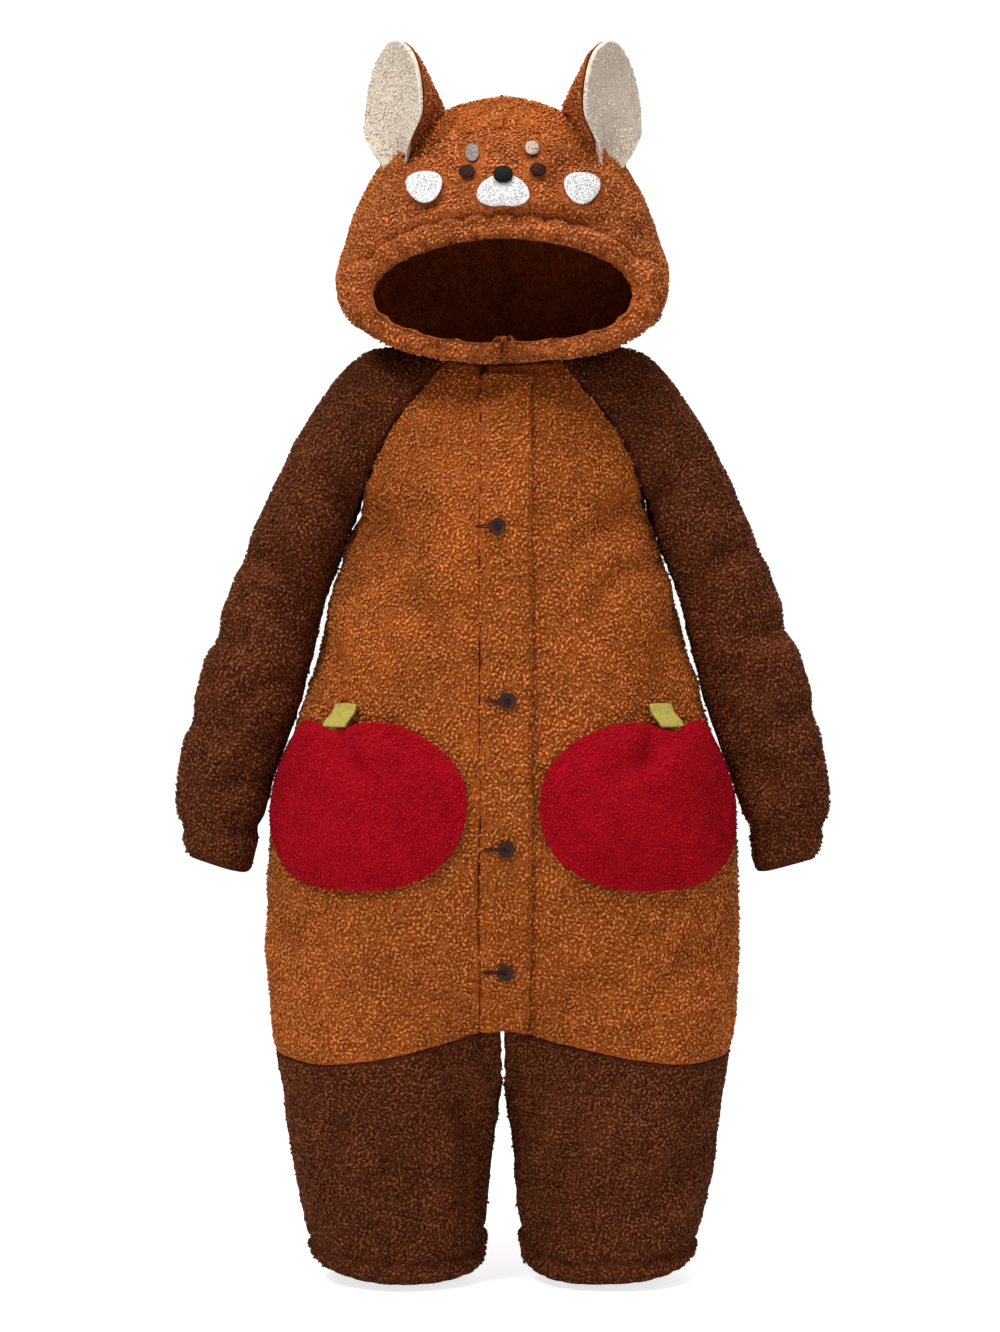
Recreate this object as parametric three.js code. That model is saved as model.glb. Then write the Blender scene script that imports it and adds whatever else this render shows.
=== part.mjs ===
// Red panda onesie: a hooded one-piece costume for a small child, standing as its wearer fills it.
// Millimetres, +Z up, the front faces -Y, and the origin is where the neck and shoulders hold it.
// Right and left are the wearer's own, so the right side is at -X.
import * as THREE from 'three';
import { mergeVertices } from 'three/addons/utils/BufferGeometryUtils.js';

// Cloth and seams.
const cloth = 4.5; // sherpa fleece with its pile
const seamPull = 0.16; // each edge draws back this far from its seam line
const legSeamPull = 0.4; // the leg seam crosses the valley between the legs, so it draws back more
const layerGap = 0.3; // between a panel and what lies on it
const hemCloth = 8; // cloth turned back on itself at a hem or a rim

// Placket: its sewn edge, and how far the other front runs under it.
const placketSewnX = -19;
const placketFreeX = 20;
const underlapX = -12.5;
const placketUnderLip = 9; // it ends this far below the neckline, under the lip of the hood
const placketShort = 2; // it ends this far above the leg seam

// Colours of the cloth and trims.
const colours = {
  body: 0xa5642c,
  hood: 0x9c562e,
  dark: 0x553020,
  apple: 0x9c1620,
  cream: 0xd8c9b2,
  white: 0xf2efec,
  black: 0x141012,
  eye: 0x2e120c,
  stem: 0x9c8f45,
  button: 0x30160e,
};

// Cross-sections of the body and legs: half width, depth to front and back, and how far each
// half has turned into a leg of its own (90 is one oval, 0 is two separate legs).
const bodySections = [
  { z: 20, half: 66, front: 56, back: 56, lobe: 90, gap: 0 },
  { z: 0, half: 70, front: 60, back: 62, lobe: 90, gap: 0 },
  { z: -14, half: 72, front: 60, back: 68, lobe: 90, gap: 0 },
  { z: -35, half: 99, front: 68, back: 82, lobe: 90, gap: 0 },
  { z: -70, half: 114, front: 83, back: 95, lobe: 90, gap: 0 },
  { z: -110, half: 117, front: 92, back: 100, lobe: 90, gap: 0 },
  { z: -150, half: 122, front: 98, back: 102, lobe: 90, gap: 0 },
  { z: -196, half: 138, front: 101, back: 101, lobe: 90, gap: 0 },
  { z: -264, half: 154, front: 105, back: 100, lobe: 90, gap: 0 },
  { z: -312, half: 169, front: 108, back: 101, lobe: 88, gap: 0 },
  { z: -360, half: 184, front: 109, back: 103, lobe: 81, gap: 0 },
  { z: -440, half: 190, front: 107, back: 105, lobe: 66, gap: 0 },
  { z: -500, half: 189, front: 102, back: 102, lobe: 52, gap: 0 },
  { z: -540, half: 186, front: 98, back: 98, lobe: 40, gap: 0 },
  { z: -560, half: 182, front: 95, back: 94, lobe: 31, gap: 0 },
  { z: -580, half: 179, front: 91, back: 90, lobe: 18, gap: 0 },
  { z: -590, half: 177, front: 89, back: 88, lobe: 0, gap: 0 },
  { z: -613, half: 175, front: 84, back: 83, lobe: 0, gap: 4.5 },
  { z: -640, half: 171, front: 79, back: 78, lobe: 0, gap: 8 },
  { z: -674, half: 164, front: 74, back: 73, lobe: 0, gap: 10.5 },
  { z: -704, half: 157, front: 71, back: 70, lobe: 0, gap: 13 },
  { z: -722, half: 152, front: 69, back: 68, lobe: 0, gap: 15 },
  { z: -745, half: 145, front: 66, back: 66, lobe: 0, gap: 19 },
];

// Raglan rows from the neck to the underarm: height of the seam at front and back, top of the
// sleeve above it, its depth, and the angle at which the sleeve meets the seam.
const raglanRows = [
  { frontZ: -12.6, backZ: 5.6, apexX: 70, apexZ: 6, depth: 60, lobe: 130 },
  { frontZ: -34, backZ: -22, apexX: 95, apexZ: 5, depth: 54, lobe: 107 },
  { frontZ: -58, backZ: -50, apexX: 117, apexZ: -3, depth: 51, lobe: 82 },
  { frontZ: -80, backZ: -76, apexX: 135, apexZ: -23, depth: 50, lobe: 66 },
  { frontZ: -100, backZ: -98, apexX: 151, apexZ: -46, depth: 50, lobe: 50 },
  { frontZ: -117, backZ: -116, apexX: 164, apexZ: -67, depth: 50, lobe: 39 },
  { frontZ: -131, backZ: -131, apexX: 174, apexZ: -86, depth: 50, lobe: 28.5 },
  { frontZ: -141.6, backZ: -141.6, apexX: 182, apexZ: -103, depth: 50, lobe: 18.4 },
  { frontZ: -147.9, backZ: -147.9, apexX: 189, apexZ: -118, depth: 50, lobe: 9.2 },
  { frontZ: -150, backZ: -150, apexX: 195, apexZ: -132, depth: 50, lobe: 0 },
];

// Sleeve rings from the underarm to the cuff: how clear each is of the body's side, its height
// there, its outermost point and its half depth.
const sleeveRings = [
  { at: 0, clear: 0, innerZ: -150, outerX: 195, outerZ: -132, depth: 50, midY: 0 },
  { at: 0.1, clear: 1.3, innerZ: -178, outerX: 206, outerZ: -158, depth: 50, midY: 0 },
  { at: 0.25, clear: 1.3, innerZ: -212, outerX: 220, outerZ: -194, depth: 49, midY: -1 },
  { at: 0.42, clear: 1.3, innerZ: -258, outerX: 238, outerZ: -244, depth: 47, midY: -3 },
  { at: 0.6, clear: 1.4, innerZ: -306, outerX: 253, outerZ: -296, depth: 44, midY: -5 },
  { at: 0.76, clear: 2.5, innerZ: -352, outerX: 262, outerZ: -342, depth: 40, midY: -7 },
  { at: 0.88, clear: 6, innerZ: -384, outerX: 260, outerZ: -374, depth: 36, midY: -8 },
  { at: 1, clear: 10, innerZ: -414, outerX: 253, outerZ: -402, depth: 31, midY: -9 },
];

// Arches of the hood from the rim to the centre back: the widest point, the top, and the full
// lower lip that stands forward of the neckline.
const hoodArches = [
  { at: 0, sideX: 105, sideY: -80, sideZ: 37, topY: -98, topZ: 80, lipOut: 38, lipUp: 16 },
  { at: 0.08, sideX: 118, sideY: -72, sideZ: 40, topY: -100, topZ: 100, lipOut: 42, lipUp: 2 },
  { at: 0.22, sideX: 128, sideY: -48, sideZ: 44, topY: -86, topZ: 136, lipOut: 28, lipUp: 1 },
  { at: 0.42, sideX: 132, sideY: -14, sideZ: 48, topY: -56, topZ: 171, lipOut: 8, lipUp: 2 },
  { at: 0.6, sideX: 130, sideY: 18, sideZ: 52, topY: -4, topZ: 204, lipOut: 0, lipUp: 0 },
  { at: 0.8, sideX: 113, sideY: 66, sideZ: 58, topY: 62, topZ: 192, lipOut: 0, lipUp: 0 },
  { at: 0.91, sideX: 82, sideY: 98, sideZ: 64, topY: 100, topZ: 156, lipOut: 0, lipUp: 0 },
  { at: 1, sideX: 0, sideY: 114, sideZ: 68, topY: 117, topZ: 96, lipOut: 0, lipUp: 0 },
];
const earSeamAt = 0.42;

const degrees = Math.PI / 180;
const clamp = THREE.MathUtils.clamp;
const lerp = THREE.MathUtils.lerp;
const smooth = (value) => THREE.MathUtils.smoothstep(value, 0, 1);
const parts = new THREE.Group();

// Reads a table between its rows, every column on a smooth curve through the rows.
function between(table, key, value) {
  const rising = table[1][key] > table[0][key];
  let row = 0;
  while (row < table.length - 2 && (rising ? value > table[row + 1][key] : value < table[row + 1][key])) {
    row += 1;
  }
  const a = table[row];
  const b = table[row + 1];
  const before = table[Math.max(row - 1, 0)];
  const after = table[Math.min(row + 2, table.length - 1)];
  const span = b[key] - a[key];
  const t = clamp((value - a[key]) / span, -0.5, 1.5);
  const result = {};
  for (const column of Object.keys(a)) {
    const slopeA = (b[column] - before[column]) / (b[key] - before[key]);
    const slopeB = (after[column] - a[column]) / (after[key] - a[key]);
    const straight = b[column] - a[column];
    const rise = t * t * (3 - 2 * t) * straight;
    const lead = t * (1 - t) * (1 - t) * slopeA * span;
    const trail = t * t * (t - 1) * slopeB * span;
    result[column] = a[column] + rise + lead + trail;
  }
  result[key] = value;
  return result;
}

// A point of the body at height z, at an angle from the centre line; face is -1 front, 1 back.
function bodyPoint(z, angle, face) {
  const section = between(bodySections, 'z', z);
  const lobe = clamp(section.lobe, 0, 90) * degrees;
  const gap = Math.max(section.gap, 0);
  const depth = face < 0 ? section.front : section.back;
  const reach = (section.half - gap) / (1 + Math.cos(lobe));
  const turn = lobe + Math.abs(angle);
  const x = gap + reach * (Math.cos(lobe) - Math.cos(turn));
  const soft = turn + 0.12 * Math.exp(-Math.abs(angle) / 0.1) * Math.cos(lobe);
  return new THREE.Vector3(Math.sign(angle || 1) * x, face * depth * Math.sin(soft), z);
}

// The angle at which the body reaches a distance x from the centre line.
function bodyAngle(z, x) {
  const section = between(bodySections, 'z', z);
  const lobe = clamp(section.lobe, 0, 90) * degrees;
  const reach = (section.half - section.gap) / (1 + Math.cos(lobe));
  const turn = Math.acos(clamp(Math.cos(lobe) - Math.abs(x) / reach, -1, 1));
  return Math.sign(x) * (turn - lobe);
}

// The widest angle of the body at height z, on the side seam.
function sideAngle(z) {
  return Math.PI - clamp(between(bodySections, 'z', z).lobe, 0, 90) * degrees;
}

// Half width and depths of the neckline, where the hood is sewn on.
const neckHalf = 70;
const neckFront = 60;
const neckBack = 62;

// The neckline falls at the front and is level round the back.
function neckHeight(angle) {
  const fall = (1 + Math.cos(angle)) / 2;
  return 6 - 24 * fall * fall;
}

// A point of the neckline, at an angle from the centre front.
function neckPoint(angle) {
  const y = -Math.cos(angle) * (angle < Math.PI / 2 ? neckFront : neckBack);
  return new THREE.Vector3(neckHalf * Math.sin(angle), y, neckHeight(angle));
}

// Outward directions on a grid of points.
function gridNormals(points, outwardFrom) {
  const rows = points.length - 1;
  const columns = points[0].length - 1;
  return points.map((row, i) => row.map((point, j) => {
    const down = points[Math.min(i + 1, rows)][j].clone().sub(points[Math.max(i - 1, 0)][j]);
    const across = row[Math.min(j + 1, columns)].clone().sub(row[Math.max(j - 1, 0)]);
    const normal = down.cross(across).normalize();
    if (normal.dot(point.clone().sub(outwardFrom(point))) < 0) normal.negate();
    return normal;
  }));
}

// A sheet of cloth: its outer points and its outward directions.
function sheet(points, outwardFrom) {
  return { points, normals: gridNormals(points, outwardFrom) };
}

// The indices along one edge of a sheet, in order.
function edgeCells(piece, edge) {
  const rows = piece.points.length - 1;
  const columns = piece.points[0].length - 1;
  const alongRows = Array.from({ length: rows + 1 }, (_, i) => i);
  const alongColumns = Array.from({ length: columns + 1 }, (_, j) => j);
  const edges = {
    top: alongColumns.map((j) => [0, j]),
    bottom: alongColumns.map((j) => [rows, j]),
    start: alongRows.map((i) => [i, 0]),
    end: alongRows.map((i) => [i, columns]),
  };
  return edges[edge];
}

// Two sheets that meet on a seam share one wall direction there, over the rows given.
function joinNormals(a, edgeA, b, edgeB, count = Infinity, fromA = 0, fromB = 0) {
  const cellsA = edgeCells(a, edgeA).slice(fromA, fromA + count);
  const cellsB = edgeCells(b, edgeB).slice(fromB, fromB + count);
  cellsA.forEach(([i, j], index) => {
    if (!cellsB[index]) return;
    const [k, l] = cellsB[index];
    const shared = a.normals[i][j].clone().add(b.normals[k][l]).normalize();
    a.normals[i][j].copy(shared);
    b.normals[k][l].copy(shared);
  });
}

// Turns a sheet into a closed wall. Seam edges draw back from the seam line; free edges are
// rounded. thickness is a number or a function of row and column.
function wall(name, colour, piece, { seams = {}, free = [], thickness = cloth } = {}) {
  const { points, normals } = piece;
  const rows = points.length - 1;
  const columns = points[0].length - 1;
  const outer = points.map((row) => row.map((point) => point.clone()));
  const steps = { top: [1, 0], bottom: [-1, 0], start: [0, 1], end: [0, -1] };
  for (const [edge, pull] of Object.entries(seams)) {
    for (const [i, j] of edgeCells(piece, edge)) {
      const [di, dj] = steps[edge];
      const inside = points[i + di][j + dj].clone().sub(points[i][j]).normalize();
      outer[i][j].addScaledVector(inside, pull);
    }
  }
  const depth = (i, j) => (typeof thickness === 'function' ? thickness(i / rows, j / columns) : thickness);
  const inner = outer.map((row, i) => row.map((point, j) => (
    point.clone().addScaledVector(normals[i][j], -depth(i, j))
  )));
  closeShell(name, colour, outer, inner, free);
}

// The middle of a rounded edge stands out by a part of the wall's thickness.
function roundedMiddle(outer, inner, i, j, di, dj) {
  const outward = outer[i][j].clone().sub(outer[i + di][j + dj]).normalize();
  const middle = outer[i][j].clone().add(inner[i][j]).multiplyScalar(0.5);
  return middle.addScaledVector(outward, outer[i][j].distanceTo(inner[i][j]) * 0.4);
}

// Closes an outer and an inner grid into one body. Free edges get a middle line of points.
function closeShell(name, colour, outer, inner, free, middleOf = roundedMiddle) {
  const rows = outer.length - 1;
  const columns = outer[0].length - 1;
  const steps = { top: [1, 0], bottom: [-1, 0], start: [0, 1], end: [0, -1] };
  const vertices = [];
  const add = (point) => vertices.push(point) - 1;
  const outerIndex = outer.map((row) => row.map(add));
  const innerIndex = inner.map((row) => row.map(add));
  const faces = [];
  const quad = (a, b, c, d) => faces.push([a, b, c], [a, c, d]);
  for (let i = 0; i < rows; i += 1) {
    for (let j = 0; j < columns; j += 1) {
      quad(outerIndex[i][j], outerIndex[i + 1][j], outerIndex[i + 1][j + 1], outerIndex[i][j + 1]);
      quad(innerIndex[i][j + 1], innerIndex[i + 1][j + 1], innerIndex[i + 1][j], innerIndex[i][j]);
    }
  }
  const loops = { top: false, bottom: true, start: true, end: false };
  for (const edge of Object.keys(loops)) {
    const cells = edgeCells({ points: outer }, edge);
    const [di, dj] = steps[edge];
    const rounded = free.includes(edge);
    const middles = cells.map(([i, j]) => {
      if (!rounded) return null;
      return add(middleOf(outer, inner, i, j, di, dj));
    });
    for (let k = 0; k < cells.length - 1; k += 1) {
      const [i, j] = cells[k];
      const [m, n] = cells[k + 1];
      const oa = outerIndex[i][j];
      const ob = outerIndex[m][n];
      const ia = innerIndex[i][j];
      const ib = innerIndex[m][n];
      const strips = rounded
        ? [[oa, ob, middles[k + 1], middles[k]], [middles[k], middles[k + 1], ib, ia]]
        : [[oa, ob, ib, ia]];
      for (const [a, b, c, d] of strips) {
        if (loops[edge]) quad(a, d, c, b);
        else quad(a, b, c, d);
      }
    }
    // Where a rounded edge ends, its middle closes against the plain edge beside it.
    if (rounded) {
      const first = cells[0];
      const last = cells[cells.length - 1];
      for (const [cell, middle, isFirst] of [[first, middles[0], true], [last, middles.at(-1), false]]) {
        const o = outerIndex[cell[0]][cell[1]];
        const n = innerIndex[cell[0]][cell[1]];
        const ahead = isFirst !== loops[edge];
        faces.push(ahead ? [o, middle, n] : [o, n, middle]);
      }
    }
  }
  addMesh(name, colour, vertices, faces);
}

// Adds one closed body to the part.
function addMesh(name, colour, vertices, faces) {
  const geometry = new THREE.BufferGeometry();
  const positions = new Float32Array(vertices.flatMap((point) => [point.x, point.y, point.z]));
  geometry.setAttribute('position', new THREE.BufferAttribute(positions, 3));
  let volume = 0;
  for (const [a, b, c] of faces) {
    volume += vertices[a].dot(vertices[b].clone().cross(vertices[c]));
  }
  const ordered = volume < 0 ? faces.map(([a, b, c]) => [a, c, b]) : faces;
  geometry.setIndex(ordered.flat());
  geometry.computeVertexNormals();
  const material = new THREE.MeshStandardMaterial({ color: colour, roughness: 0.95, metalness: 0 });
  const mesh = new THREE.Mesh(geometry, material);
  mesh.name = name;
  parts.add(mesh);
}

// Mirrors a sheet to the wearer's other side.
function mirrored(piece) {
  const flipX = (point) => new THREE.Vector3(-point.x, point.y, point.z);
  const flipAll = (rows) => rows.map((row) => row.map(flipX));
  return { points: flipAll(piece.points), normals: flipAll(piece.normals) };
}

const bodyMiddle = (point) => {
  const legs = smooth((-560 - point.z) / 40);
  return new THREE.Vector3(Math.sign(point.x) * 90 * legs, 0, point.z);
};

// Rows of the body below the underarm, down to the leg seam. The last rows bend to that seam.
const sideRows = [-172, -196, -222, -250, -280, -312, -344, -376, -408, -440, -468, -495, -520, -540, -557];
const legSeamCentre = -536;
const legSeamDip = -8;
const rearDip = 0.35; // seams and hems droop less at the back

// Distance of the raglan seam in front of the underarm, on a row.
const raglanReach = (row) => row.depth * Math.sin(row.lobe * degrees);

// Height of row i of the body at a share of the way from the centre line to its side edge.
function bodyRowHeight(i, share, face) {
  if (i < raglanRows.length) {
    const seamZ = face < 0 ? raglanRows[i].frontZ : raglanRows[i].backZ;
    const top = face < 0 ? raglanRows[0].frontZ : raglanRows[0].backZ;
    const depth = face < 0 ? neckFront : neckBack;
    const edge = Math.acos(raglanReach(raglanRows[0]) / depth);
    const neckZ = neckHeight(face < 0 ? share * edge : Math.PI - share * edge);
    return seamZ + (neckZ - top) * (1 - smooth(i / 4));
  }
  const sideZ = sideRows[i - raglanRows.length];
  const bend = smooth((-sideZ - 440) / (557 - 440));
  const rise = (legSeamCentre + 557) * (1 - smooth(share / 0.75));
  const dip = face < 0 ? legSeamDip : legSeamDip * rearDip;
  return sideZ + bend * (rise + dip * Math.sin(share * Math.PI));
}

// The side edge of the body on row i, as an angle from the centre line.
function bodyEdgeAngle(i, face) {
  const z = bodyRowHeight(i, 1, face);
  if (i >= raglanRows.length - 1) return sideAngle(z);
  const section = between(bodySections, 'z', z);
  const depth = face < 0 ? section.front : section.back;
  return Math.acos(clamp(raglanReach(raglanRows[i]) / depth, -1, 1));
}

// Soft folds of the body: a place, a direction across the fold, its width, length and depth.
const bodyFolds = [
  { face: -1, x: 96, z: -150, lean: 35, wide: 16, long: 60, deep: -4 },
  { face: -1, x: -92, z: -168, lean: -32, wide: 15, long: 70, deep: -4.5 },
  { face: -1, x: 120, z: -270, lean: 12, wide: 20, long: 90, deep: -3 },
  { face: -1, x: -118, z: -285, lean: -15, wide: 22, long: 80, deep: -3 },
  { face: -1, x: 70, z: -478, lean: 62, wide: 20, long: 80, deep: -3.5 },
  { face: -1, x: -62, z: -492, lean: -55, wide: 22, long: 90, deep: -4 },
  { face: 1, x: 88, z: -160, lean: 30, wide: 18, long: 75, deep: -4 },
  { face: 1, x: -90, z: -150, lean: -36, wide: 16, long: 60, deep: -4 },
  { face: 1, x: 20, z: -300, lean: 80, wide: 24, long: 110, deep: -4 },
  { face: 1, x: 66, z: -470, lean: -52, wide: 20, long: 90, deep: -4.5 },
  { face: 1, x: -70, z: -455, lean: 48, wide: 22, long: 80, deep: -4 },
];

// Depth of the folds at a point of the front or back.
function foldDepth(folds, x, z, face) {
  let total = 0;
  for (const fold of folds) {
    if (fold.face !== face) continue;
    const lean = fold.lean * degrees;
    const dx = x - fold.x;
    const dz = z - fold.z;
    const across = dx * Math.cos(lean) - dz * Math.sin(lean);
    const along = dx * Math.sin(lean) + dz * Math.cos(lean);
    total += fold.deep * Math.exp(-((across / fold.wide) ** 2) - (along / fold.long) ** 2);
  }
  return total;
}

// A point of the front or back cloth: the body with its folds, at a height and an angle.
function bodyCloth(z, angle, edge, face, side = 1) {
  const point = bodyPoint(z, angle, face);
  point.x *= side;
  const share = clamp(Math.abs(angle) / edge, 0, 1);
  const calm = face < 0 || share > 0.5 ? Math.sin(share * Math.PI) ** 0.5 : 1;
  const placketCalm = face < 0 ? smooth((Math.abs(point.x) - 22) / 40) : 1;
  const seamCalm = smooth((z + 562) / 40);
  const deep = foldDepth(bodyFolds, point.x, point.z, face) * calm * placketCalm * seamCalm;
  const middle = bodyMiddle(point);
  return point.addScaledVector(point.clone().sub(middle).normalize(), deep);
}

const bodyRowCount = raglanRows.length + sideRows.length;

// One front or back. Its first columns stand at the given distances from the centre line, and
// the rest share the way to the side edge evenly.
function bodySheet(face, side, places, columns) {
  const points = [];
  for (let i = 0; i < bodyRowCount; i += 1) {
    const edge = bodyEdgeAngle(i, face);
    const centreZ = bodyRowHeight(i, 0, face);
    const angles = places.map((x) => bodyAngle(centreZ, x));
    const first = places.length ? angles.at(-1) : -edge;
    const spread = columns - angles.length + (places.length ? 1 : 0);
    for (let j = places.length ? 1 : 0; j <= spread; j += 1) angles.push(lerp(first, edge, j / spread));
    points.push(angles.map((angle) => {
      const z = bodyRowHeight(i, Math.abs(angle) / edge, face);
      return bodyCloth(z, angle, edge, face, side);
    }));
  }
  return sheet(points, bodyMiddle);
}

const underPlacket = [underlapX, -5, 5, 14];
const frontLeft = bodySheet(-1, 1, underPlacket, 12);
const frontRight = bodySheet(-1, -1, [-placketSewnX], 11);
const back = bodySheet(1, 1, [], 18);

// Sleeve: raglan rows over the shoulder, then rings down to the cuff.
const sleeveColumns = 18;
const cuffGathers = 18;

function sleeveRing(row, start, end, count) {
  return Array.from({ length: count + 1 }, (_, j) => row(lerp(start, end, j / count)));
}

function sleeveSheet() {
  const points = [];
  raglanRows.forEach((row, i) => {
    const front = bodyPoint(row.frontZ, bodyEdgeAngle(i, -1), -1);
    const rear = bodyPoint(row.backZ, bodyEdgeAngle(i, 1), 1);
    const lobe = row.lobe * degrees;
    const middle = front.clone().add(rear).multiplyScalar(0.5);
    const half = lobe > 0.01
      ? front.clone().sub(rear).multiplyScalar(0.5 / Math.sin(lobe))
      : new THREE.Vector3(0, -row.depth, 0);
    const apex = new THREE.Vector3(row.apexX, 0, row.apexZ);
    const reach = apex.clone().sub(middle).divideScalar(1 + Math.cos(lobe));
    const centre = apex.clone().sub(reach);
    const rowStart = lobe;
    const rowEnd = 2 * Math.PI - lobe;
    const onNeck = (turn) => neckPoint(turn - Math.PI / 2);
    points.push(sleeveRing((turn) => {
      if (i > 0) {
        return centre.clone().addScaledVector(reach, -Math.cos(turn)).addScaledVector(half, Math.sin(turn));
      }
      const share = (turn - rowStart) / (rowEnd - rowStart);
      return onNeck(turn)
        .addScaledVector(front.clone().sub(onNeck(rowStart)), 1 - share)
        .addScaledVector(rear.clone().sub(onNeck(rowEnd)), share);
    }, rowStart, rowEnd, sleeveColumns));
  });
  const ringCount = 15;
  for (let i = 1; i <= ringCount; i += 1) {
    const at = i / ringCount;
    const ring = between(sleeveRings, 'at', at);
    const innerX = between(bodySections, 'z', ring.innerZ).half + ring.clear;
    const inner = new THREE.Vector3(innerX, ring.midY * at, ring.innerZ);
    const outer = new THREE.Vector3(ring.outerX, ring.midY * at, ring.outerZ);
    const reach = outer.clone().sub(inner).multiplyScalar(0.5);
    const centre = inner.clone().add(reach);
    const casing = Math.exp(-(((at - 0.9) / 0.045) ** 2));
    points.push(sleeveRing((turn) => {
      const fold = sleeveFold(at, turn);
      const gather = casing * (-2.6 + 1.3 * Math.cos(turn * cuffGathers));
      const swell = 1 + (fold + gather) / 35;
      return centre.clone()
        .addScaledVector(reach, -Math.cos(turn) * swell)
        .add(new THREE.Vector3(0, -ring.depth * Math.sin(turn) * swell, 0));
    }, 0, 2 * Math.PI, sleeveColumns));
  }
  const axis = (point) => {
    const height = clamp(-point.z / 400, 0, 1);
    const x = lerp(95, 228, Math.min(1, height * 1.05));
    return new THREE.Vector3(x, 0, point.z - (point.z > -120 ? 45 : 0));
  };
  return sheet(points, axis);
}

// Creases round a hanging sleeve, deepest on the inside of the elbow.
const sleeveFolds = [
  { at: 0.1, turn: 70, wide: 0.035, round: 50, deep: -3.2 },
  { at: 0.3, turn: 110, wide: 0.04, round: 60, deep: -3 },
  { at: 0.47, turn: 60, wide: 0.035, round: 55, deep: -3.4 },
  { at: 0.58, turn: 250, wide: 0.04, round: 60, deep: -3.6 },
  { at: 0.68, turn: 120, wide: 0.035, round: 65, deep: -3.4 },
  { at: 0.78, turn: 290, wide: 0.035, round: 60, deep: -3 },
];

function sleeveFold(at, turn) {
  let total = 0;
  for (const fold of sleeveFolds) {
    const slant = fold.at + 0.03 * Math.sin(turn + fold.turn);
    const round = (turn / degrees - fold.turn) / fold.round;
    total += fold.deep * Math.exp(-(((at - slant) / fold.wide) ** 2) - round * round);
  }
  return total * Math.sin(turn / 2) ** 0.5;
}

const sleeveLeft = sleeveSheet();
const sleeveRight = mirrored(sleeveLeft);

// At the underarm four pieces meet, and their walls turn upward into the armhole together.
function pointDown(row, share) {
  const last = (piece) => piece.points[0].length - 1;
  const cells = [[frontLeft, last(frontLeft)], [frontRight, last(frontRight)], [back, 0], [back, last(back)]];
  cells.push([sleeveLeft, 0], [sleeveLeft, sleeveColumns], [sleeveRight, 0], [sleeveRight, sleeveColumns]);
  for (const [piece, column] of cells) {
    const normal = piece.normals[row][column];
    normal.add(new THREE.Vector3(0, 0, -share)).normalize();
  }
}

joinNormals(frontLeft, 'end', sleeveLeft, 'start', raglanRows.length);
joinNormals(frontRight, 'end', sleeveRight, 'start', raglanRows.length);
joinNormals(back, 'end', sleeveLeft, 'end', raglanRows.length);
joinNormals(back, 'start', sleeveRight, 'end', raglanRows.length);
joinNormals(sleeveLeft, 'start', sleeveLeft, 'end', Infinity, raglanRows.length, raglanRows.length);
joinNormals(sleeveRight, 'start', sleeveRight, 'end', Infinity, raglanRows.length, raglanRows.length);
pointDown(raglanRows.length - 2, 0.9);
pointDown(raglanRows.length - 1, 50);
joinNormals(frontLeft, 'end', back, 'end', Infinity, raglanRows.length, raglanRows.length);
joinNormals(frontRight, 'end', back, 'start', Infinity, raglanRows.length, raglanRows.length);

// Lower legs: dark front and back panels from the leg seam to the hem.
const legRows = [
  { inner: legSeamCentre, side: -557, dip: legSeamDip },
  { inner: -556, side: -568, dip: -7 },
  { inner: -572, side: -580, dip: -6 },
  { inner: -583, side: -590, dip: -5 },
  { inner: -590, side: -598, dip: -4 },
  { inner: -600, side: -608, dip: -3 },
  { inner: -622, side: -628, dip: -2 },
  { inner: -646, side: -650, dip: -2 },
  { inner: -670, side: -670, dip: -4 },
  { inner: -692, side: -688, dip: -7 },
  { inner: -706, side: -702, dip: -9 },
  { inner: -716, side: -712, dip: -10 },
  { inner: -726, side: -722, dip: -10 },
];
const legFolds = [
  { face: -1, x: 36, z: -610, lean: 25, wide: 11, long: 48, deep: -6 },
  { face: -1, x: 62, z: -668, lean: 32, wide: 12, long: 46, deep: -5.5 },
  { face: -1, x: 124, z: -650, lean: 36, wide: 11, long: 38, deep: -4.5 },
  { face: -1, x: -34, z: -606, lean: -16, wide: 10, long: 46, deep: -5.5 },
  { face: -1, x: -96, z: -662, lean: 24, wide: 14, long: 40, deep: -3.5 },
  { face: 1, x: 58, z: -625, lean: -24, wide: 12, long: 52, deep: -5 },
  { face: 1, x: 112, z: -680, lean: -34, wide: 12, long: 40, deep: -4 },
  { face: 1, x: -52, z: -640, lean: 20, wide: 12, long: 50, deep: -5 },
  { face: 1, x: -118, z: -628, lean: 38, wide: 13, long: 44, deep: -4.5 },
];

function legSheet(face, side) {
  const columns = 10;
  const points = legRows.map((row) => Array.from({ length: columns + 1 }, (_, j) => {
    const share = j / columns;
    const dip = face < 0 ? row.dip : row.dip * rearDip;
    const z = lerp(row.inner, row.side, smooth(share / 0.75)) + dip * Math.sin(share * Math.PI);
    const point = bodyPoint(z, share * sideAngle(z) + 1e-6, face);
    point.x *= side;
    const calm = smooth((-z - 560) / 30) * Math.sin(share * Math.PI) ** 0.5;
    const deep = foldDepth(legFolds, point.x, point.z, face) * calm;
    return point.addScaledVector(point.clone().sub(bodyMiddle(point)).normalize(), deep);
  }));
  return sheet(points, bodyMiddle);
}

for (const [side, suffix] of [[-1, 'right'], [1, 'left']]) {
  const front = legSheet(-1, side);
  const rear = legSheet(1, side);
  joinNormals(front, 'end', rear, 'end');
  joinNormals(front, 'start', rear, 'start', Infinity, 4, 4);
  const turned = (down) => (down > 0.88 ? hemCloth : cloth);
  const seams = { top: legSeamPull, start: seamPull, end: seamPull };
  const options = { seams, free: ['bottom'], thickness: turned };
  wall(`leg_front_${suffix}`, colours.dark, front, options);
  wall(`leg_back_${suffix}`, colours.dark, rear, options);
}

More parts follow.
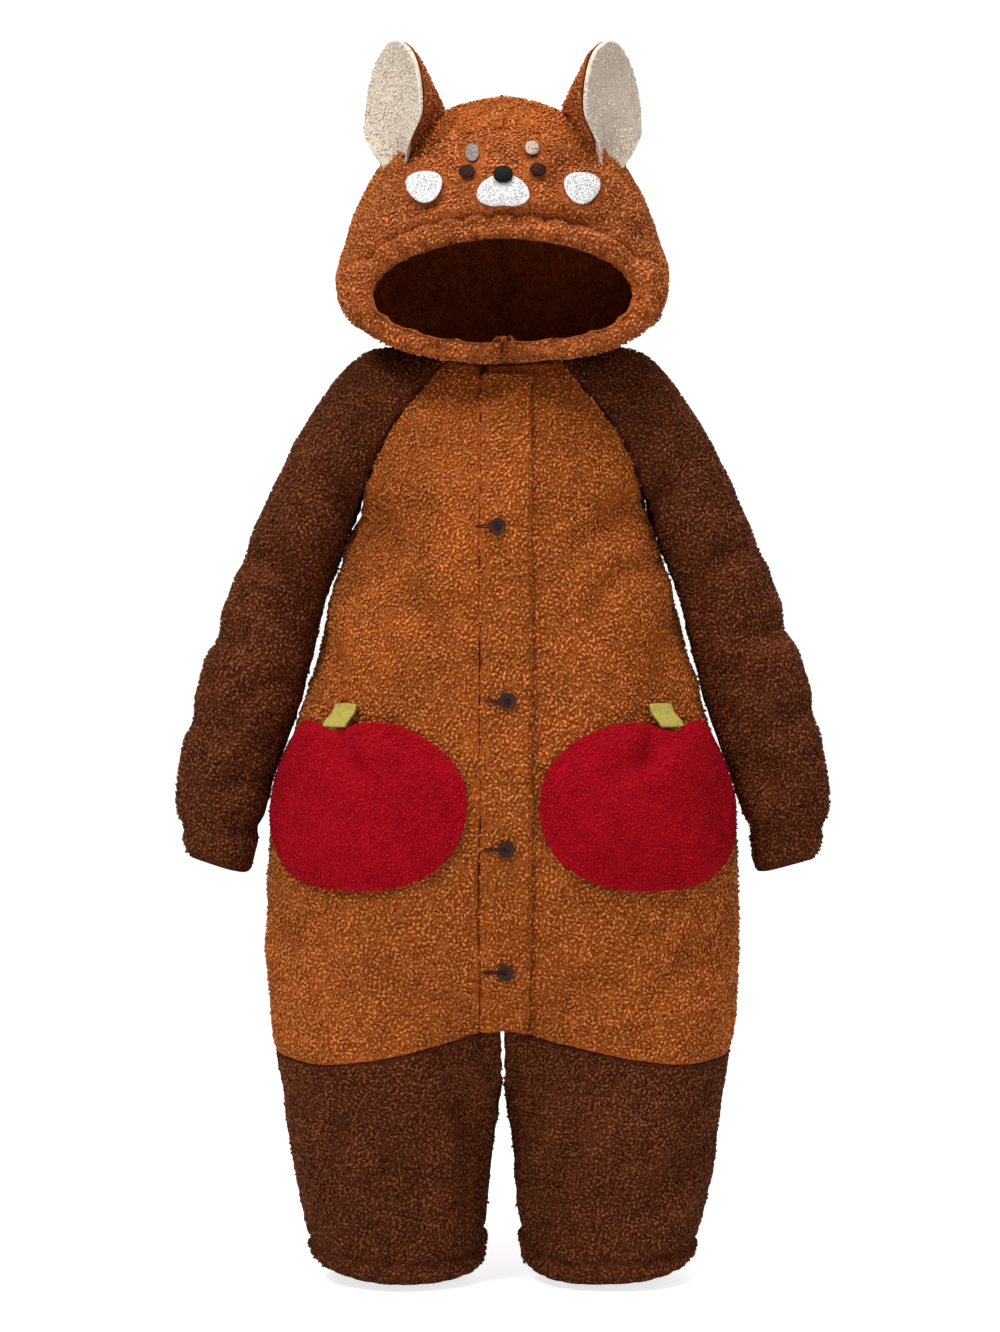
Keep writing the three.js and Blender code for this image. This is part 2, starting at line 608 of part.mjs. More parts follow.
// Placket: the strip down the front, flush at its sewn edge and over the left front beyond it.
function placketSheet() {
  const places = [placketSewnX, -16, -13, ...underPlacket.slice(1), placketFreeX];
  const points = [];
  for (let i = 0; i < bodyRowCount; i += 1) {
    const edge = bodyEdgeAngle(i, -1);
    points.push(places.map((x) => {
      const centreZ = bodyRowHeight(i, 0, -1);
      const angle = bodyAngle(centreZ, x);
      const z = bodyRowHeight(i, Math.abs(angle) / edge, -1);
      return bodyPoint(z, angle, -1);
    }));
  }
  const base = sheet(points, bodyMiddle);
  const raised = (j) => (cloth + layerGap + 0.1) * smooth((places[j] - placketSewnX) / 6);
  base.points = points.map((row, i) => row.map((point, j) => (
    point.clone().addScaledVector(base.normals[i][j], raised(j))
  )));
  return base;
}
const placket = placketSheet();
joinNormals(placket, 'start', frontRight, 'start');

const bodySeams = { bottom: legSeamPull, start: seamPull, end: seamPull };
wall('front_left', colours.body, frontLeft, { seams: bodySeams });
wall('front_right', colours.body, frontRight, { seams: bodySeams });
wall('back', colours.body, back, { seams: bodySeams });
const cuffed = (down) => (down > 0.93 ? hemCloth * 0.75 : cloth);
const sleeveOptions = { seams: { start: seamPull, end: seamPull }, free: ['bottom'], thickness: cuffed };
wall('sleeve_left', colours.dark, sleeveLeft, sleeveOptions);
wall('sleeve_right', colours.dark, sleeveRight, sleeveOptions);

// Hood: arches that rise from the neckline to the top centre, from the rim back to the nape.
const neckStart = 0.4 * degrees;
const neckGap = 0.5;
const lipHold = 0.14; // the rims rise side by side over this share before they part
const sideShare = 0.45; // the widest point lies this far along an arch

function hoodPoint(at, along) {
  const arch = between(hoodArches, 'at', at);
  const neckAngle = lerp(neckStart, Math.PI, at);
  const neck = neckPoint(neckAngle);
  neck.z += neckGap;
  const sideX = Math.max(arch.sideX, 0);
  const point = new THREE.Vector3();
  if (along < sideShare) {
    const hold = lipHold * Math.exp(-((at / 0.12) ** 2));
    const rise = (Math.max(along - hold, 0) / (sideShare - hold)) * Math.PI / 2;
    point.x = lerp(neck.x, sideX, Math.sin(rise));
    point.y = lerp(neck.y, arch.sideY, Math.sin(rise));
    point.z = lerp(neck.z, arch.sideZ, 1 - Math.cos(rise));
    const lip = Math.sin(Math.PI * Math.sqrt(along / sideShare));
    point.y -= arch.lipOut * lip;
    point.z += arch.lipUp * lip;
  } else {
    const rise = ((along - sideShare) / (1 - sideShare)) * Math.PI / 2;
    point.x = sideX * Math.cos(rise);
    point.y = lerp(arch.sideY, arch.topY, Math.sin(rise) ** 2);
    point.z = lerp(arch.sideZ, arch.topZ, Math.sin(rise));
  }
  return point;
}

const hoodColumns = 14; // along each half of an arch
const hoodMiddle = () => new THREE.Vector3(0, 10, 80);

// The face panel runs from one side of the neck over the head to the other.
function hoodFaceSheet() {
  const rows = 7;
  const half = hoodColumns;
  const points = Array.from({ length: rows + 1 }, (_, i) => (
    Array.from({ length: 2 * half + 1 }, (__, j) => {
      const side = j < half ? -1 : 1;
      const along = 1 - Math.abs(j - half) / half;
      const point = hoodPoint(earSeamAt * (i / rows) ** 1.25, along);
      point.x *= side;
      return point;
    })
  ));
  return sheet(points, hoodMiddle);
}

function hoodBackSheet() {
  const rows = 10;
  const columns = hoodColumns;
  const points = Array.from({ length: rows + 1 }, (_, i) => (
    Array.from({ length: columns + 1 }, (__, j) => hoodPoint(lerp(earSeamAt, 1, i / rows), j / columns))
  ));
  return sheet(points, hoodMiddle);
}

const hoodFace = hoodFaceSheet();
const hoodBackLeft = hoodBackSheet();
const hoodBackRight = mirrored(hoodBackLeft);
joinNormals(hoodFace, 'bottom', hoodBackRight, 'top', hoodColumns);
for (let j = 0; j <= hoodColumns; j += 1) {
  const seam = hoodFace.normals.at(-1)[2 * hoodColumns - j];
  const shared = seam.clone().add(hoodBackLeft.normals[0][j]).normalize();
  seam.copy(shared);
  hoodBackLeft.normals[0][j].copy(shared);
}
hoodBackRight.normals[0][hoodColumns].copy(hoodBackLeft.normals[0][hoodColumns]);
joinNormals(hoodBackLeft, 'end', hoodBackRight, 'end');
hoodFace.normals.at(-1)[hoodColumns].copy(hoodBackLeft.normals[0][hoodColumns]);
joinNormals(hoodBackLeft, 'bottom', hoodBackRight, 'bottom');
const rimmed = (down) => lerp(hemCloth, cloth, smooth(down / 0.35));
const faceSeams = { bottom: seamPull, start: 0, end: 0 };
wall('hood_face', colours.hood, hoodFace, { seams: faceSeams, free: ['top'], thickness: rimmed });
const hoodSeams = { top: seamPull, bottom: seamPull, start: 0, end: seamPull };
wall('hood_back_left', colours.body, hoodBackLeft, { seams: hoodSeams });
wall('hood_back_right', colours.body, hoodBackRight, { seams: hoodSeams });

const placketSeams = { start: layerGap, bottom: placketShort, top: placketUnderLip };
wall('placket', colours.body, placket, { seams: placketSeams, free: ['end'] });

// A round-cornered piece laid on a surface. place gives the surface's point and outward
// direction for x and y in -1 to 1; outline gives the edge at an angle; under and over give
// the heights of its two faces.
function patch(name, colour, cells, place, outline, under, over) {
  const outer = [];
  const inner = [];
  for (let i = 0; i <= cells; i += 1) {
    outer.push([]);
    inner.push([]);
    for (let j = 0; j <= cells; j += 1) {
      const a = (2 * j) / cells - 1;
      const b = 1 - (2 * i) / cells;
      const reach = Math.max(Math.abs(a), Math.abs(b));
      const turn = squareTurn(a, b);
      const [edgeX, edgeY] = outline(turn);
      const x = edgeX * reach;
      const y = edgeY * reach;
      const { point, normal } = place(x, y);
      outer[i].push(point.clone().addScaledVector(normal, over(x, y, reach)));
      inner[i].push(point.clone().addScaledVector(normal, under(x, y, reach)));
    }
  }
  closeShell(name, colour, outer, inner, []);
}

// The angle of a place on a square, spread evenly round it.
function squareTurn(a, b) {
  if (a === 0 && b === 0) return 0;
  if (Math.abs(a) >= Math.abs(b)) return (Math.PI / 4) * (b / a) + (a < 0 ? Math.PI : 0);
  return Math.PI / 2 - (Math.PI / 4) * (a / b) + (b < 0 ? Math.PI : 0);
}

// A superellipse: 2 is an ellipse, more is squarer.
function roundOutline(turn, square = 2) {
  const power = 2 / square;
  const c = Math.cos(turn);
  const d = Math.sin(turn);
  return [Math.sign(c) * Math.abs(c) ** power, Math.sign(d) * Math.abs(d) ** power];
}

// The outward direction of a surface given by two shares.
function surfaceNormal(surface, u, v, outwardFrom, step = 1e-3) {
  const du = surface(u + step, v).sub(surface(u - step, v));
  const dv = surface(u, v + step).sub(surface(u, v - step));
  const normal = du.cross(dv).normalize();
  const point = surface(u, v);
  return normal.dot(point.sub(outwardFrom)) < 0 ? normal.negate() : normal;
}

// Apple pockets: patch pockets sewn round the sides and bottom, open between the two lobes.
const pocketZ = -361;
const pocketHalfHeight = 67;
const pocketHalfWide = 95; // along the cloth
const pocketAngle = 50 * degrees;
const pocketHalfAngle = 39.5 * degrees;
const pocketSewnGap = 0.8;
const pocketMouthGap = 12;
const mouthHalf = 0.62;

function appleOutline(turn) {
  const [x, y] = roundOutline(turn, 2.3);
  const notch = y > 0 ? 0.2 * Math.exp(-((x / 0.2) ** 2)) : 0;
  const tuck = y < 0 ? 0.04 * Math.exp(-((x / 0.3) ** 2)) : 0;
  return [x * (1 + 0.04 * y), y * (1 - notch - tuck)];
}

function pocketGap(x, y, reach) {
  const mouth = Math.max(0, 1 - (x / mouthHalf) ** 2) * smooth((y + 0.1) / 0.85);
  const belly = 4 * (1 - reach ** 4);
  return pocketSewnGap + belly + (pocketMouthGap - pocketSewnGap) * mouth;
}

function pocketPlace(side) {
  const surface = (x, y) => {
    const z = pocketZ + pocketHalfHeight * y;
    return bodyCloth(z, pocketAngle + pocketHalfAngle * x, sideAngle(z), -1, side);
  };
  return (x, y) => {
    const point = surface(x, y);
    return { point, normal: surfaceNormal(surface, x, y, bodyMiddle(point)) };
  };
}

// Stems: a folded felt tab that stands on the pocket's notch and leans back to the front.
const stemHalf = 9.5;
const stemTall = 19;
const stemRise = 4.5; // above the bottom of the notch
const stemThick = 3;

function stem(name, side) {
  const place = pocketPlace(side);
  const notchY = appleOutline(Math.PI / 2)[1];
  const rows = 5;
  const columns = 3;
  const outer = [];
  const inner = [];
  for (let i = 0; i <= rows; i += 1) {
    outer.push([]);
    inner.push([]);
    const up = i / rows;
    const y = notchY + (stemRise + stemTall * up) / pocketHalfHeight;
    for (let j = 0; j <= columns; j += 1) {
      const across = (2 * j) / columns - 1;
      const x = (across * stemHalf * (1 + 0.12 * up) + 2 * up * up) / pocketHalfWide;
      const { point, normal } = place(x, y);
      const lift = lerp(pocketMouthGap, 1.2, smooth(up * 1.3)) + 1.2 * Math.sin(up * Math.PI);
      inner[i].push(point.clone().addScaledVector(normal, lift));
      outer[i].push(point.clone().addScaledVector(normal, lift + stemThick));
    }
  }
  closeShell(name, colours.stem, outer, inner, ['bottom']);
}

for (const [side, suffix] of [[-1, 'right'], [1, 'left']]) {
  const over = (x, y, reach) => pocketGap(x, y, reach) + cloth * (0.72 + 0.28 * (1 - reach ** 6));
  patch(`pocket_${suffix}`, colours.apple, 10, pocketPlace(side), appleOutline, pocketGap, over);
  stem(`stem_${suffix}`, side);
}

// Buttons in the placket, sunk in the pile, by height.
const buttons = [
  { x: -4.5, z: -146 },
  { x: 3, z: -280 },
  { x: 2.5, z: -393 },
  { x: 2.5, z: -488 },
];
const buttonRadius = 6.5;
const buttonThick = 2.6;

buttons.forEach((button, index) => {
  const profile = [
    [0, 0], [buttonRadius - 0.8, 0], [buttonRadius, 0.8], [buttonRadius, 1.8],
    [buttonRadius - 1, buttonThick], [buttonRadius - 2.4, buttonThick - 0.6], [0, buttonThick - 0.6],
  ].map(([x, y]) => new THREE.Vector2(x, y));
  const lathe = new THREE.LatheGeometry(profile, 12);
  const surface = (x, z) => bodyPoint(z, bodyAngle(z, x), -1);
  const point = surface(5, button.z);
  point.x = button.x;
  const ahead = surface(button.x, button.z + 4).sub(surface(button.x, button.z - 4));
  const across = surface(14, button.z).sub(surface(-5, button.z));
  const normal = ahead.cross(across).normalize();
  if (normal.y > 0) normal.negate();
  const seat = cloth + 2 * layerGap + 0.8;
  const place = point.clone().addScaledVector(normal, seat);
  const turn = new THREE.Quaternion().setFromUnitVectors(new THREE.Vector3(0, 1, 0), normal);
  const welded = mergeVertices(lathe.deleteAttribute('normal').deleteAttribute('uv'), 1e-4);
  const found = welded.getAttribute('position');
  const vertices = Array.from({ length: found.count }, (_, k) => (
    new THREE.Vector3().fromBufferAttribute(found, k).applyQuaternion(turn).add(place)
  ));
  const corners = Array.from(welded.getIndex().array);
  const faces = [];
  for (let k = 0; k < corners.length; k += 3) {
    const face = corners.slice(k, k + 3);
    if (new Set(face).size === 3) faces.push(face);
  }
  addMesh(`button_${index + 1}`, colours.button, vertices, faces);
});

// The share and height along the hood's arches at a place seen from the front.
function hoodAt(x, z) {
  let at = 0.18;
  let along = 0.85;
  for (let pass = 0; pass < 30; pass += 1) {
    const here = hoodPoint(at, along);
    const step = 1e-4;
    const da = hoodPoint(at + step, along).sub(here).divideScalar(step);
    const dl = hoodPoint(at, along + step).sub(here).divideScalar(step);
    const errorX = x - here.x;
    const errorZ = z - here.z;
    const area = da.x * dl.z - da.z * dl.x;
    at = clamp(at + (errorX * dl.z - errorZ * dl.x) / area, 0.001, 0.6);
    along = clamp(along + (da.x * errorZ - da.z * errorX) / area, 0.5, 0.9999);
  }
  return { at, along };
}

// Face patches on the hood, by their middle seen from the front and half sizes.
const patchUnder = 0.4; // above the hood, apart from the nose, which lies on the muzzle
const facePatches = [
  { name: 'muzzle', colour: 'white', x: 0, z: 113.5, wide: 19.5, tall: 12.8, cells: 8, thick: 2.6 },
  { name: 'nose', colour: 'black', x: 0, z: 125, wide: 7, tall: 6.4, cells: 4, under: 3.4, thick: 3.6 },
  { name: 'eye_right', colour: 'eye', x: -28, z: 130, wide: 6, tall: 5, cells: 4, thick: 2 },
  { name: 'eye_left', colour: 'eye', x: 27, z: 131.5, wide: 6, tall: 4.8, cells: 4, thick: 2 },
  { name: 'brow_right', colour: 'cream', x: -24, z: 146, wide: 4.8, tall: 7.4, cells: 4, thick: 2.4 },
  { name: 'brow_left', colour: 'cream', x: 22.5, z: 150, wide: 5, tall: 5.6, cells: 4, thick: 2.4 },
  { name: 'cheek_right', colour: 'white', x: -61, z: 118.5, wide: 13.4, tall: 13, cells: 6, thick: 2.6 },
  { name: 'cheek_left', colour: 'white', x: 61, z: 117.5, wide: 13.4, tall: 13, cells: 6, thick: 2.6 },
];

// Muzzle: broad below with a small notch; cheeks: broad above, leaning to the ear.
function faceOutline(name, side) {
  return (turn) => {
    const [x, y] = roundOutline(turn, 2.2);
    if (name === 'muzzle') {
      const notch = y < 0 ? 0.14 * Math.exp(-((x / 0.22) ** 2)) : 0;
      return [x * (1 - 0.2 * y), y * (1 - notch)];
    }
    if (name.startsWith('cheek')) return [x * (1 + 0.28 * y) + 0.08 * y * side, y];
    return [x, y];
  };
}

for (const piece of facePatches) {
  const surface = (x, y) => {
    const frontX = piece.x + piece.wide * x;
    const { at, along } = hoodAt(Math.abs(frontX), piece.z + piece.tall * y);
    const point = hoodPoint(at, along);
    if (frontX < 0) point.x *= -1;
    return point;
  };
  const place = (x, y) => {
    const normal = surfaceNormal(surface, x, y, hoodMiddle(), 0.05);
    return { point: surface(x, y), normal };
  };
  const outline = faceOutline(piece.name, Math.sign(piece.x));
  const lift = piece.under ?? patchUnder;
  const under = () => lift;
  const over = (x, y, reach) => lift + piece.thick * (0.6 + 0.4 * (1 - reach ** 4));
  patch(piece.name, colours[piece.colour], piece.cells, place, outline, under, over);
}

// Ears: a cream front, dished, and a stuffed brown back, on the seam of the hood.
const ear = {
  root: new THREE.Vector3(90, -33, 150),
  tip: new THREE.Vector3(88, -34, 240),
  turn: 58 * degrees, // how far the open front looks to the side
  half: 46,
  seam: 0.36, // its width at the seam, as a share
  full: 0.45, // it reaches its full width this far up
  end: 7, // half its width at the tip
  dish: 10,
  lump: 5, // where the stuffing pushes the cream front up
  frontThick: 5,
  edge: 3,
  bulge: 44,
  gap: 1.5, // between the cream front and the back
  seat: 1.8, // above the hood
};

// The height of the hood over a place seen from above.
function hoodOver(x, y) {
  let at = 0.5;
  let along = 0.8;
  for (let pass = 0; pass < 40; pass += 1) {
    const here = hoodPoint(at, along);
    const step = 1e-4;
    const da = hoodPoint(at + step, along).sub(here).divideScalar(step);
    const dl = hoodPoint(at, along + step).sub(here).divideScalar(step);
    const errorX = x - here.x;
    const errorY = y - here.y;
    const area = da.x * dl.y - da.y * dl.x;
    at = clamp(at + 0.7 * (errorX * dl.y - errorY * dl.x) / area, 0.05, 0.9);
    along = clamp(along + 0.7 * (da.x * errorY - da.y * errorX) / area, 0.46, 0.999);
  }
  return hoodPoint(at, along).z;
}

// Points of one face of the ear. It stands on the hood below the resting face.
function earGrid(offset, resting = offset) {
  const rows = 8;
  const columns = 6;
  const across = new THREE.Vector3(Math.cos(ear.turn), Math.sin(ear.turn), 0);
  const facing = new THREE.Vector3(Math.sin(ear.turn), -Math.cos(ear.turn), 0);
  return Array.from({ length: rows + 1 }, (_, i) => (
    Array.from({ length: columns + 1 }, (__, j) => {
      const up = Math.sin((i / rows) * 90 * degrees);
      const share = (2 * j) / columns - 1;
      const spread = lerp(ear.seam, 1, smooth(up / ear.full));
      const wide = Math.max(ear.half * spread * Math.sqrt(1 - up ** 3.2), ear.end);
      const middle = ear.root.clone().lerp(ear.tip, up).addScaledVector(across, wide * share);
      const stand = middle.clone().addScaledVector(facing, resting(up, share));
      const rest = hoodOver(stand.x, stand.y) + ear.seat;
      const point = middle.addScaledVector(facing, offset(up, share));
      point.z = lerp(rest, ear.tip.z, up);
      return point;
    })
  ));
}

function earPieces(suffix, side) {
  const dish = (up, share) => -ear.dish * (1 - share ** 2) * (1 - up ** 3)
    + ear.lump * Math.exp(-((share / 0.4) ** 2) - ((up - 0.42) / 0.17) ** 2);
  const back = (up, share) => dish(up, share) - ear.frontThick;
  const swell = (up, share) => ear.bulge * (1 - share ** 2) * (1 - up) ** 0.7;
  const rear = (up, share) => -ear.frontThick - ear.edge - swell(up, share);
  const flipPoint = (point) => new THREE.Vector3(point.x * side, point.y, point.z);
  const flip = (grid) => grid.map((row) => row.map(flipPoint));
  const seated = (outer, inner, i, j, di, dj) => {
    if (di !== 1) return roundedMiddle(outer, inner, i, j, di, dj);
    const middle = outer[i][j].clone().add(inner[i][j]).multiplyScalar(0.5);
    middle.z = hoodOver(Math.abs(middle.x), middle.y) + ear.seat;
    return middle;
  };
  const rounded = ['top', 'bottom', 'start', 'end'];
  const front = [flip(earGrid(dish)), flip(earGrid(back))];
  const rearGap = (up, share) => back(up, share) - ear.gap;
  const stuffed = [flip(earGrid(rearGap, back)), flip(earGrid(rear))];
  closeShell(`ear_front_${suffix}`, colours.cream, front[0], front[1], rounded, seated);
  closeShell(`ear_back_${suffix}`, colours.hood, stuffed[0], stuffed[1], rounded, seated);
}

earPieces('right', -1);
earPieces('left', 1);

export default parts;
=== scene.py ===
import math

import bpy
import numpy as np
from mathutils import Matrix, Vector, kdtree


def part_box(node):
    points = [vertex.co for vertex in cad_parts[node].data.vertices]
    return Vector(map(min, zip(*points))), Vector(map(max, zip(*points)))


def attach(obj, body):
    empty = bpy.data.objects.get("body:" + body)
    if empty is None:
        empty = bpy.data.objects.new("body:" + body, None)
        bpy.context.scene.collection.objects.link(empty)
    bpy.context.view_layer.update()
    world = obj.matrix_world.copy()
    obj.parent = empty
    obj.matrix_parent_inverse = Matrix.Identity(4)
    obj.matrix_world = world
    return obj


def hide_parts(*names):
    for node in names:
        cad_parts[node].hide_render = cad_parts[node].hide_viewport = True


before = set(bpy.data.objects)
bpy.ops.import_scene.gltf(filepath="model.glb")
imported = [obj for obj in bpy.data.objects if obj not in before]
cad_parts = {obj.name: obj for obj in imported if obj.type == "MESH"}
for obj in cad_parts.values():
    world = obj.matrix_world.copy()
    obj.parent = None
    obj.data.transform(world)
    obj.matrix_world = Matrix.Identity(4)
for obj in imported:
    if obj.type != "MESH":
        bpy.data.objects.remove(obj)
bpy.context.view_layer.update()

# The setting: a seamless white studio sweep and large soft lights, with the camera level with
# the middle of the garment and straight in front of it.
floor_height = -0.742
paper_width = 12
paper_rise = 7
paper_curve = 3  # radius of the bend between floor and wall
rear = paper_width / 2 - 1  # only the rear edge of the paper is behind this
bpy.ops.object.select_all(action="DESELECT")
bpy.ops.mesh.primitive_plane_add(size=paper_width, location=(0, 0, floor_height))
sweep = bpy.context.object
sweep.name = "studio_sweep"
bpy.ops.object.mode_set(mode="EDIT")
bpy.ops.mesh.select_all(action="DESELECT")
bpy.ops.object.mode_set(mode="OBJECT")
for edge in sweep.data.edges:
    edge.select = all(sweep.data.vertices[i].co.y > rear for i in edge.vertices)
bpy.ops.object.mode_set(mode="EDIT")
bpy.ops.mesh.select_mode(type="EDGE")
bpy.ops.mesh.extrude_region_move(TRANSFORM_OT_translate={"value": (0, 0, paper_rise)})
bpy.ops.object.mode_set(mode="OBJECT")
for edge in sweep.data.edges:
    ends = [sweep.data.vertices[i].co for i in edge.vertices]
    edge.select = all(end.y > rear and end.z < floor_height + 1 for end in ends)
bpy.ops.object.mode_set(mode="EDIT")
bpy.ops.mesh.bevel(offset=paper_curve, segments=16, affect="EDGES")
bpy.ops.object.mode_set(mode="OBJECT")
bpy.ops.object.shade_smooth()
bpy.ops.object.transform_apply(location=True, rotation=True, scale=True)
paper = bpy.data.materials.new("studio_paper")
paper.use_nodes = True
paper_face = paper.node_tree.nodes["Principled BSDF"]
paper_face.inputs["Base Color"].default_value = (0.9, 0.9, 0.9, 1)
paper_face.inputs["Roughness"].default_value = 0.9
paper_face.inputs["Emission Color"].default_value = (1, 1, 1, 1)
seen = paper.node_tree.nodes.new("ShaderNodeLightPath")
glow = paper.node_tree.nodes.new("ShaderNodeMapRange")
glow.inputs["To Min"].default_value = 0.12
glow.inputs["To Max"].default_value = 0.75
paper.node_tree.links.new(seen.outputs["Is Camera Ray"], glow.inputs["Value"])
paper.node_tree.links.new(glow.outputs["Result"], paper_face.inputs["Emission Strength"])
sweep.data.materials.append(paper)

# Name, place, aim, size in metres and power in watts.
lamps = [
    ("key_light", (-1.5, -1.8, 2.1), (0, 0, -0.15), 0.8, 52),
    ("fill_light", (1.9, -2.3, 0.9), (0, 0, -0.2), 1.8, 8),
    ("top_light", (0.2, -0.6, 2.2), (0, 0, 0), 0.9, 34),
    ("rim_light", (1.2, 2.2, 1.0), (0, 0, -0.2), 1.8, 8),
]
for name, place, aim, size, power in lamps:
    bpy.ops.object.light_add(type="AREA", location=place)
    lamp = bpy.context.object
    lamp.name = name
    lamp.data.size = size
    lamp.data.energy = power
    lamp.rotation_euler = (
        math.atan2(math.hypot(aim[0] - place[0], aim[1] - place[1]), place[2] - aim[2]),
        0,
        math.atan2(aim[1] - place[1], aim[0] - place[0]) - math.pi / 2,
    )
studio = bpy.data.worlds.new("studio_world")
studio.use_nodes = True
studio.node_tree.nodes["Background"].inputs["Color"].default_value = (1, 1, 1, 1)
sky = studio.node_tree.nodes.new("ShaderNodeLightPath")
white = studio.node_tree.nodes.new("ShaderNodeMapRange")
white.inputs["To Min"].default_value = 0.22
white.inputs["To Max"].default_value = 1.0
studio.node_tree.links.new(sky.outputs["Is Camera Ray"], white.inputs["Value"])
studio.node_tree.links.new(white.outputs["Result"], studio.node_tree.nodes["Background"].inputs["Strength"])
bpy.context.scene.world = studio
bpy.context.scene.view_settings.view_transform = "Standard"

camera_distance = 2.7
view_height = 1.0656  # what the picture takes in at the middle of the garment, in metres
view_middle = (-0.0024, -0.2528)  # x and z at the middle of the picture
sensor_size = 36
bpy.ops.object.camera_add(
    location=(view_middle[0], -camera_distance, view_middle[1]), rotation=(math.pi / 2, 0, 0)
)
camera = bpy.context.object
camera.name = "photo_camera"
camera.data.sensor_width = sensor_size
camera.data.lens = sensor_size * camera_distance / view_height
camera.data.clip_end = 60
camera.data.dof.use_dof = False
bpy.context.scene.camera = camera

# Body: front and back panels of curly sherpa fleece in orange brown, sewn at the sides and to
# the raglan sleeves. Each panel is cut from the CAD cloth, creased and given its pile.
side_seam = 0.004  # y of the plane between the fronts and the back
body_line = [(0, side_seam, 0.03), (0, side_seam, -0.53), (0, 0, -0.8)]
pile_height = 0.0015
pile_spacing = 0.0028
crease_depth = 2.5  # how much deeper this thick fleece folds than a crease's own depth
crease_width = 1.45  # and how much wider


def cut_panel(node, levels=2, hold=1.0):
    """The CAD node's cloth as one closed skin, rounded between its points."""
    panel = bpy.data.objects.new(node + "_cloth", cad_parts[node].data.copy())
    bpy.context.scene.collection.objects.link(panel)
    bpy.ops.object.select_all(action="DESELECT")
    bpy.context.view_layer.objects.active = panel
    panel.select_set(True)
    panel.data.materials.clear()
    bpy.ops.object.mode_set(mode="EDIT")
    bpy.ops.mesh.select_all(action="SELECT")
    bpy.ops.mesh.remove_doubles(threshold=0.00002)
    bpy.ops.mesh.tris_convert_to_quads(face_threshold=math.radians(60), shape_threshold=math.radians(75))
    bpy.ops.mesh.customdata_custom_splitnormals_clear()
    bpy.ops.mesh.select_all(action="DESELECT")
    bpy.ops.mesh.select_mode(type="EDGE")
    bpy.ops.mesh.edges_select_sharp(sharpness=math.radians(38))
    bpy.ops.transform.edge_crease(value=hold)
    bpy.ops.object.mode_set(mode="OBJECT")
    sharp = [edge.index for edge in panel.data.edges if edge.select]
    edging = sorted({i for e in sharp for i in panel.data.edges[e].vertices})
    meet_at_seams(panel, set(edging))
    panel["seam_points"] = [c for i in edging for c in panel.data.vertices[i].co]
    rounding = panel.modifiers.new("rounding", "SUBSURF")
    rounding.levels = levels
    rounding.render_levels = levels
    bpy.ops.object.modifier_apply(modifier=rounding.name)
    bpy.ops.object.shade_smooth()
    return panel


def meet_at_seams(panel, edging, reach=0.0006):
    """Sewn edges touch: each edge point moves out from its own panel by a hair."""
    near = {i: [] for i in edging}
    for edge in panel.data.edges:
        first, second = edge.vertices
        for here, other in [(first, second), (second, first)]:
            if here in near:
                near[here].append(other)
    outward = {}
    for here in edging:
        place = panel.data.vertices[here].co
        inside = [panel.data.vertices[other].co for other in near[here] if other not in near]
        if inside:
            outward[here] = sum((place - point for point in inside), Vector()).normalized()
    for here in edging:
        ways = [outward[other] for other in near[here] if other in outward]
        if here in outward:
            ways = [outward[here]]
        if ways:
            panel.data.vertices[here].co += sum(ways, Vector()) / len(ways) * reach


def read_points(piece, kind="co"):
    """Places or normals of a piece's vertices, as rows of x, y and z."""
    values = np.empty(len(piece.data.vertices) * 3, np.float32)
    piece.data.vertices.foreach_get(kind, values)
    return values.reshape(-1, 3).astype(float)


def move_points(piece, points):
    """Puts a piece's vertices at new places."""
    piece.data.vertices.foreach_set("co", points.ravel())
    piece.data.update()


def tree_of(points):
    """A tree that finds the nearest of the points."""
    tree = kdtree.KDTree(len(points))
    for i, point in enumerate(points):
        tree.insert(point, i)
    tree.balance()
    return tree


def away_from(line, points):
    """Directions straight away from the middle line of the body or limb inside the cloth."""
    best = np.full(len(points), np.inf)
    middle = np.zeros_like(points)
    for start, end in zip(np.array(line[:-1], float), np.array(line[1:], float)):
        along = np.clip((points - start) @ (end - start) / ((end - start) @ (end - start)), 0, 1)
        near = start + along[:, None] * (end - start)
        far = np.linalg.norm(points - near, axis=1)
        closer = far < best
        best[closer] = far[closer]
        middle[closer] = near[closer]
    out = points - middle
    return out / np.maximum(np.linalg.norm(out, axis=1), 1e-6)[:, None]


def lay_creases(panel, line, creases):
    """Soft troughs and ridges, listed: face, x, z, lean in degrees, bend, wide, long, deep in metres.
    Each trough has a low ridge along both sides, and all of them fade out towards the seams."""
    ridge_share = 0.35
    ridge_place = 1.9  # in widths of the trough
    seam_reach = 0.012
    points = read_points(panel)
    out = away_from(line, points)
    depth = np.zeros(len(points))
    for face, x, z, lean, bend, wide, long, deep in creases:
        side = (points[:, 1] - side_seam) * face > 0
        turn = math.radians(lean)
        along = (points[:, 0] - x) * math.sin(turn) + (points[:, 2] - z) * math.cos(turn)
        across = (points[:, 0] - x) * math.cos(turn) - (points[:, 2] - z) * math.sin(turn)
        across = (across - bend * (along / long) ** 2) / crease_width
        fold = np.exp(-((across / wide) ** 2) - (along / long) ** 2)
        beside = (np.abs(across) - ridge_place * wide) / wide
        lift = ridge_share * np.exp(-(beside**2) - (along / long) ** 2)
        depth += side * deep * crease_depth * (fold - lift)
    depth *= np.clip(edge_distance(panel) / seam_reach, 0, 1)
    move_points(panel, points + out * depth[:, None])


def edge_distance(panel, only=None):
    """Distance of each vertex from the nearest edge of its panel, or from the chosen part of it."""
    edging = np.array(panel["seam_points"]).reshape(-1, 3)
    tree = tree_of(edging if only is None else edging[only(edging)])
    return np.array([tree.find(vertex.co)[2] for vertex in panel.data.vertices])


